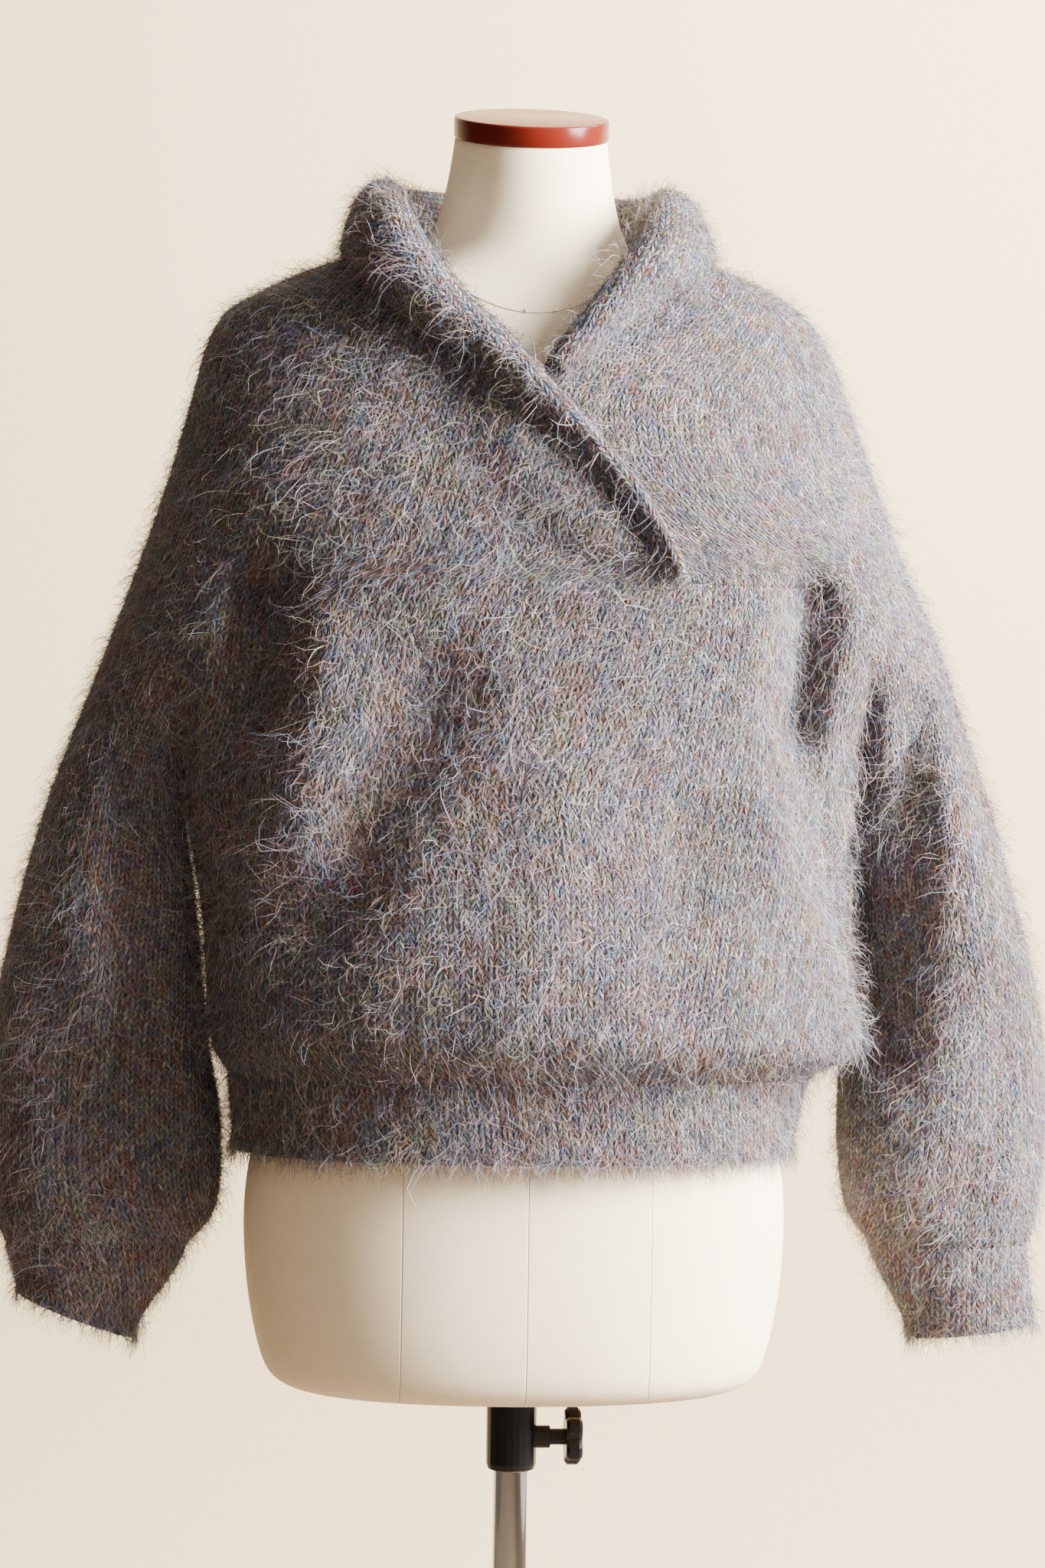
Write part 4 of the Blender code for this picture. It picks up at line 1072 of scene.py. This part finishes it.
def curly_fuzz(roots, material, rim=False):
    """Thin curly fibres every way over the nap, or down over the piece's lower rim."""
    dice = roots.dice
    kind = RIM if rim else FUZZ
    area = (roots.area * roots.at_rim).sum() if rim else roots.area.sum()
    count = int(kind.per_mm2 * area)
    place, normal, grain, _ = roots.draw(count, rim)
    turn = dice.normal(0, 0.5 if rim else 1.3, count) + NAP_LEAN
    yarn = 0.34 * TINT.at(place) + 0.22 * PATCH.at(place) + 0.20 * dice.normal(size=count)
    light = 0.45 + 0.16 * dice.normal(size=count) + 0.08 * SHADE.at(place)
    length = dice.uniform(*kind.length, count)
    low, high = (0.0, 0.7) if rim else (0.3, 1.3)
    rise = dice.uniform(low, high, count) + np.where(beside_arm(place), 0.8, 0.0)
    curl = dice.normal(0, 1.3, count)
    wave = dice.normal(0, 0.7, count)
    fall = dice.uniform(-0.4, 0.5, count)
    droop = 0.3 * dice.random(count)
    run = grow(place, normal, grain, length, turn, curl, wave, rise, fall, droop, 3)
    return ribbons(roots, "_rim" if rim else "_fuzz", run, normal, kind, yarn, light, material)


def long_hairs(roots, material):
    """Long pale fibres in loose wisps that share a direction, with single strays that stand off."""
    dice = roots.dice
    wisps = int(HAIRS.per_mm2 * roots.area.sum() / HAIRS_IN_WISP)
    place, normal, grain, _ = roots.draw(wisps)
    turn = WISP_LEAN + 0.85 * SWIRL.at(place) + 0.45 * DRIFT.at(place) + dice.normal(0, 0.35, wisps)
    curl = dice.normal(0, 0.75, wisps)
    wave = dice.normal(0, 0.55, wisps)
    length = dice.uniform(*HAIRS.length, wisps)
    yarn = dice.choice(PALE_YARNS, wisps) / (len(YARNS) - 1)
    share = np.repeat(np.arange(wisps), HAIRS_IN_WISP)
    count = len(share)
    place, normal, grain = place[share], normal[share], grain[share]
    aside, on = dice.normal(0, 3.4, (2, count))
    place = place + aside[:, None] * np.cross(normal, grain) + on[:, None] * grain
    stray = dice.random(count) < 0.35
    rise = np.where(stray, dice.uniform(0.6, 1.4, count), dice.uniform(0.35, 0.8, count))
    fall = np.where(stray, dice.uniform(-0.1, 0.6, count), dice.uniform(-0.35, 0.05, count))
    turn = turn[share] + dice.normal(0, 0.28, count) - 0.03 * aside
    curl = curl[share] + dice.normal(0, 0.5, count)
    wave = wave[share] + dice.normal(0, 0.35, count)
    length = length[share] * dice.uniform(0.7, 1.2, count)
    length = np.where(stray, np.minimum(length, STRAY_REACH), length)
    yarn = yarn[share] + 0.015 * dice.normal(size=count)
    light = 0.55 + 0.12 * dice.normal(size=count) + 0.05 * SHADE.at(place)
    droop = np.where(stray, 0.3, 0.1)
    run = grow(place, normal, grain, length, turn, curl, wave, rise, fall, droop, 4)
    return ribbons(roots, "_hairs", run, normal, HAIRS, yarn, light, material)


# Form and stand


def hard_piece(made, name, node, body, material):
    """Name a modelled piece, give it its material, and let it stand for its solid."""
    made.name = made.data.name = name
    made.data.materials.clear()
    made.data.materials.append(material)
    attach(made, body)
    if node:
        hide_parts(node)
    return made


def pick(made):
    """Select this object alone."""
    bpy.ops.object.select_all(action="DESELECT")
    made.select_set(True)
    bpy.context.view_layer.objects.active = made


def edit(on):
    """Enter edit mode with everything selected, or leave it."""
    bpy.ops.object.mode_set(mode="EDIT" if on else "OBJECT")
    if on:
        bpy.ops.mesh.select_all(action="SELECT")


def smooth(degrees):
    """Shade the active object smooth, except over edges sharper than this."""
    bpy.ops.object.shade_smooth_by_angle(angle=math.radians(degrees))


def settle(made):
    """Apply a piece's place and turn to its mesh, and its modifiers."""
    pick(made)
    bpy.ops.object.transform_apply(location=True, rotation=True, scale=True)
    for modifier in list(made.modifiers):
        bpy.ops.object.modifier_apply(modifier=modifier.name)
    return made


def lathe(profile, sides):
    """A turned body: a circle extruded and scaled up a profile of radius and height."""
    radius, height = profile[0]
    bpy.ops.mesh.primitive_circle_add(vertices=sides, radius=radius, fill_type="NGON",
                                      location=(0, 0, height))
    made = bpy.context.active_object
    bpy.ops.object.transform_apply(location=True, rotation=True, scale=True)
    edit(True)
    for (r0, z0), (r1, z1) in zip(profile, profile[1:]):
        bpy.ops.mesh.extrude_region_move(TRANSFORM_OT_translate={"value": (0, 0, z1 - z0)})
        bpy.ops.transform.resize(value=(r1 / r0, r1 / r0, 1), center_override=(0, 0, z1))
    bpy.ops.mesh.select_all(action="SELECT")
    bpy.ops.mesh.normals_make_consistent(inside=False)
    edit(False)
    smooth(35)
    return made


def form_piece(material):
    """The form: its solid's sections, merged and made smooth by subdivision."""
    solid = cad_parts["form_body"]
    made = new_object("form", solid.data.copy())
    pick(made)
    edit(True)
    bpy.ops.mesh.remove_doubles(threshold=0.00002)
    sharp = math.radians(60)
    bpy.ops.mesh.tris_convert_to_quads(face_threshold=sharp, shape_threshold=sharp)
    bpy.ops.mesh.select_all(action="DESELECT")
    bpy.ops.mesh.select_mode(type="EDGE")
    bpy.ops.mesh.edges_select_sharp(sharpness=sharp)
    bpy.ops.transform.edge_crease(value=1.0)
    edit(False)
    rounding = made.modifiers.new("smooth", "SUBSURF")
    rounding.levels = rounding.render_levels = 2
    settle(made)
    smooth(50)
    return hard_piece(made, "form_cover", "form_body", "form", material)


def cap_piece(material):
    """The lacquered disc on the neck, tipped forward with it."""
    low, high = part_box("neck_cap")
    bpy.ops.mesh.primitive_cylinder_add(vertices=128, radius=CAP_RADIUS, depth=CAP_DEPTH,
                                        end_fill_type="NGON")
    made = bpy.context.active_object
    bevel = made.modifiers.new("edge", "BEVEL")
    bevel.width, bevel.segments, bevel.limit_method = 0.0018, 4, "ANGLE"
    made.rotation_euler = (CAP_LEAN, 0, 0)
    made.location = (low + high) / 2 + CAP_LOWERED
    settle(made)
    smooth(40)
    return hard_piece(made, "neck_cap_disc", "neck_cap", "form", material)


def stand_pieces(enamel, chrome):
    """Base and pole."""
    base = lathe(BASE_PROFILE, 160)
    hard_piece(base, "base_plate", "stand_base", "stand", enamel)
    pole = lathe(POLE_PROFILE, 96)
    hard_piece(pole, "pole", "stand_pole", "stand", chrome)


def string_piece(form, material):
    """The thin neckline string on the form, laid on its surface."""
    bpy.context.view_layer.update()
    skin = BVHTree.FromObject(form, bpy.context.evaluated_depsgraph_get())
    places = []
    sides = 96
    for i in range(sides):
        turn = 2 * math.pi * i / sides
        level = STRING_LOW + STRING_RISE * min(1 - math.cos(turn), STRING_LEVEL_OFF)
        out = Vector((math.sin(turn), -math.cos(turn), 0))
        start = Vector((0, -0.01, level)) + out * 0.3
        hit, normal, _, _ = skin.ray_cast(start, -out)
        places.append(hit + normal * 0.0003)
    curve = bpy.data.curves.new("neck_string", "CURVE")
    curve.dimensions = "3D"
    curve.bevel_depth = 0.00035
    curve.bevel_resolution = 2
    line = curve.splines.new("POLY")
    line.points.add(len(places) - 1)
    for point, place in zip(line.points, places):
        point.co = (*place, 1)
    line.use_cyclic_u = True
    pick(new_object("neck_string", curve))
    bpy.ops.object.convert(target="MESH")
    made = bpy.context.active_object
    return hard_piece(made, "neck_string", None, "form", material)


def pin_pieces(form, material):
    """Two small pins that hold the string at the front of the neck."""
    skin = BVHTree.FromObject(form, bpy.context.evaluated_depsgraph_get())
    for number, x in enumerate(PIN_PLACES):
        start = Vector((x, -0.3, STRING_LOW + PIN_HEAD))
        hit, normal, _, _ = skin.ray_cast(start, Vector((0, 1, 0)))
        bpy.ops.mesh.primitive_uv_sphere_add(segments=20, ring_count=12, radius=PIN_HEAD,
                                             location=hit + normal * PIN_HEAD * 0.6)
        made = settle(bpy.context.active_object)
        bpy.ops.object.shade_smooth()
        hard_piece(made, "neck_pin_%d" % number, None, "form", material)


def sweater():
    """Shell, nap, fuzz and long hairs of every piece of cloth."""
    knit, nap = knit_shade(), nap_shade()
    for number, piece in enumerate(cut_cloth()):
        roots = Roots(piece, np.random.default_rng(100 + number))
        shell = add_shell(piece, knit)
        parts = [stitch_nap(roots, nap), curly_fuzz(roots, nap), long_hairs(roots, nap)]
        if piece.name in RIM_PIECES:
            parts.append(curly_fuzz(roots, nap, rim=True))
        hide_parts(piece.name)
        for made in [shell] + parts:
            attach(made, "form")


def camera():
    """The photograph's view."""
    look = Vector((math.sin(CAMERA_TURN), math.cos(CAMERA_TURN), 0))
    right = Vector((look.y, -look.x, 0))
    data = bpy.data.cameras.new("camera")
    data.lens = CAMERA_LENS
    data.sensor_width = 36
    made = new_object("camera", data)
    place = -look * CAMERA_DISTANCE + right * CAMERA_ASIDE
    made.location = (place.x, place.y, CAMERA_HEIGHT)
    turn = look.to_track_quat("-Z", "Y").to_matrix() @ Matrix.Rotation(CAMERA_ROLL, 3, "Z")
    made.rotation_euler = turn.to_euler()
    bpy.context.scene.camera = made


def area_light(name, place, aim, size, watts, colour):
    """A soft lamp that points at a place."""
    data = bpy.data.lights.new(name, "AREA")
    data.shape = "RECTANGLE"
    data.size, data.size_y = size
    data.energy = watts
    data.color = colour
    made = new_object(name, data)
    made.location = place
    made.rotation_euler = (Vector(aim) - Vector(place)).to_track_quat("-Z", "Y").to_euler()


def studio():
    """Pale floor and wall in one sweep, the room's light and the lamps."""
    bpy.ops.mesh.primitive_plane_add(size=FLOOR_SIZE, location=(0, WALL_Y - FLOOR_SIZE / 2, 0))
    sweep = bpy.context.active_object
    sweep.name = "backdrop"
    bpy.ops.object.transform_apply(location=True, rotation=True, scale=True)
    bpy.ops.object.mode_set(mode="EDIT")
    bpy.ops.mesh.select_all(action="DESELECT")
    bpy.ops.object.mode_set(mode="OBJECT")
    for edge in sweep.data.edges:
        edge.select = all(sweep.data.vertices[v].co.y > 1.0 for v in edge.vertices)
    bpy.ops.object.mode_set(mode="EDIT")
    bpy.ops.mesh.select_mode(type="EDGE")
    bpy.ops.mesh.extrude_region_move(TRANSFORM_OT_translate={"value": (0, 0, WALL_HIGH)})
    bpy.ops.object.mode_set(mode="OBJECT")
    bend = sweep.modifiers.new("corner", "BEVEL")
    bend.width, bend.segments, bend.limit_method = 0.5, 12, "ANGLE"
    settle(sweep)
    smooth(60)
    wall = Shade("warm_wall", tone(232, 224, 209), 0.9)
    cloud = wall.noise(wall.place(), 0.7, 2.0)
    height = wall.split(wall.place())[2]
    raised = wall.math("MULTIPLY", wall.math("SUBTRACT", height, FLOOR_TO_Z), 9.0)
    raised = wall.math("MINIMUM", wall.math("MAXIMUM", raised, 0.0), 1.0)
    plaster = wall.mix(cloud, tone(212, 190, 147), tone(221, 200, 160))
    wall.set("Base Color", wall.mix(raised, tone(122, 106, 88), plaster))
    sweep.data.materials.append(wall.material)
    room_light()
    for lamp in LAMPS:
        area_light(*lamp)


def room_light():
    """The room's soft light: bright from the window's side, dim from the other."""
    world = bpy.data.worlds.new("room")
    world.use_nodes = True
    room = Nodes(world.node_tree)
    part = room.math("MULTIPLY_ADD", room.split(room.place("Generated"))[0], 0.5, 0.5)
    room.put(room.nodes["Background"].inputs["Color"], room.ramp(part, ROOM_LIGHT))
    bpy.context.scene.world = world


def build():
    """Everything in the view."""
    camera()
    studio()
    cotton = cover_shade()
    enamel = hard_shade("black_enamel", tone(40, 40, 42), 0.4)
    chrome = hard_shade("chrome", (0.80, 0.79, 0.78, 1.0), 0.06, metallic=1.0, depth=0.00001)
    plastic = hard_shade("black_plastic", tone(12, 12, 13), 0.3, specular=0.3)
    lacquer = hard_shade("red_lacquer", tone(88, 24, 14), 0.22, specular=0.17, depth=0.00001)
    form = form_piece(cotton)
    cap_piece(lacquer)
    stand_pieces(enamel, chrome)
    for node in ("clamp_collar", "clamp_knob"):
        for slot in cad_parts[node].material_slots:
            slot.material = plastic
    string_piece(form, cotton)
    pin_pieces(form, chrome)
    sweater()


build()
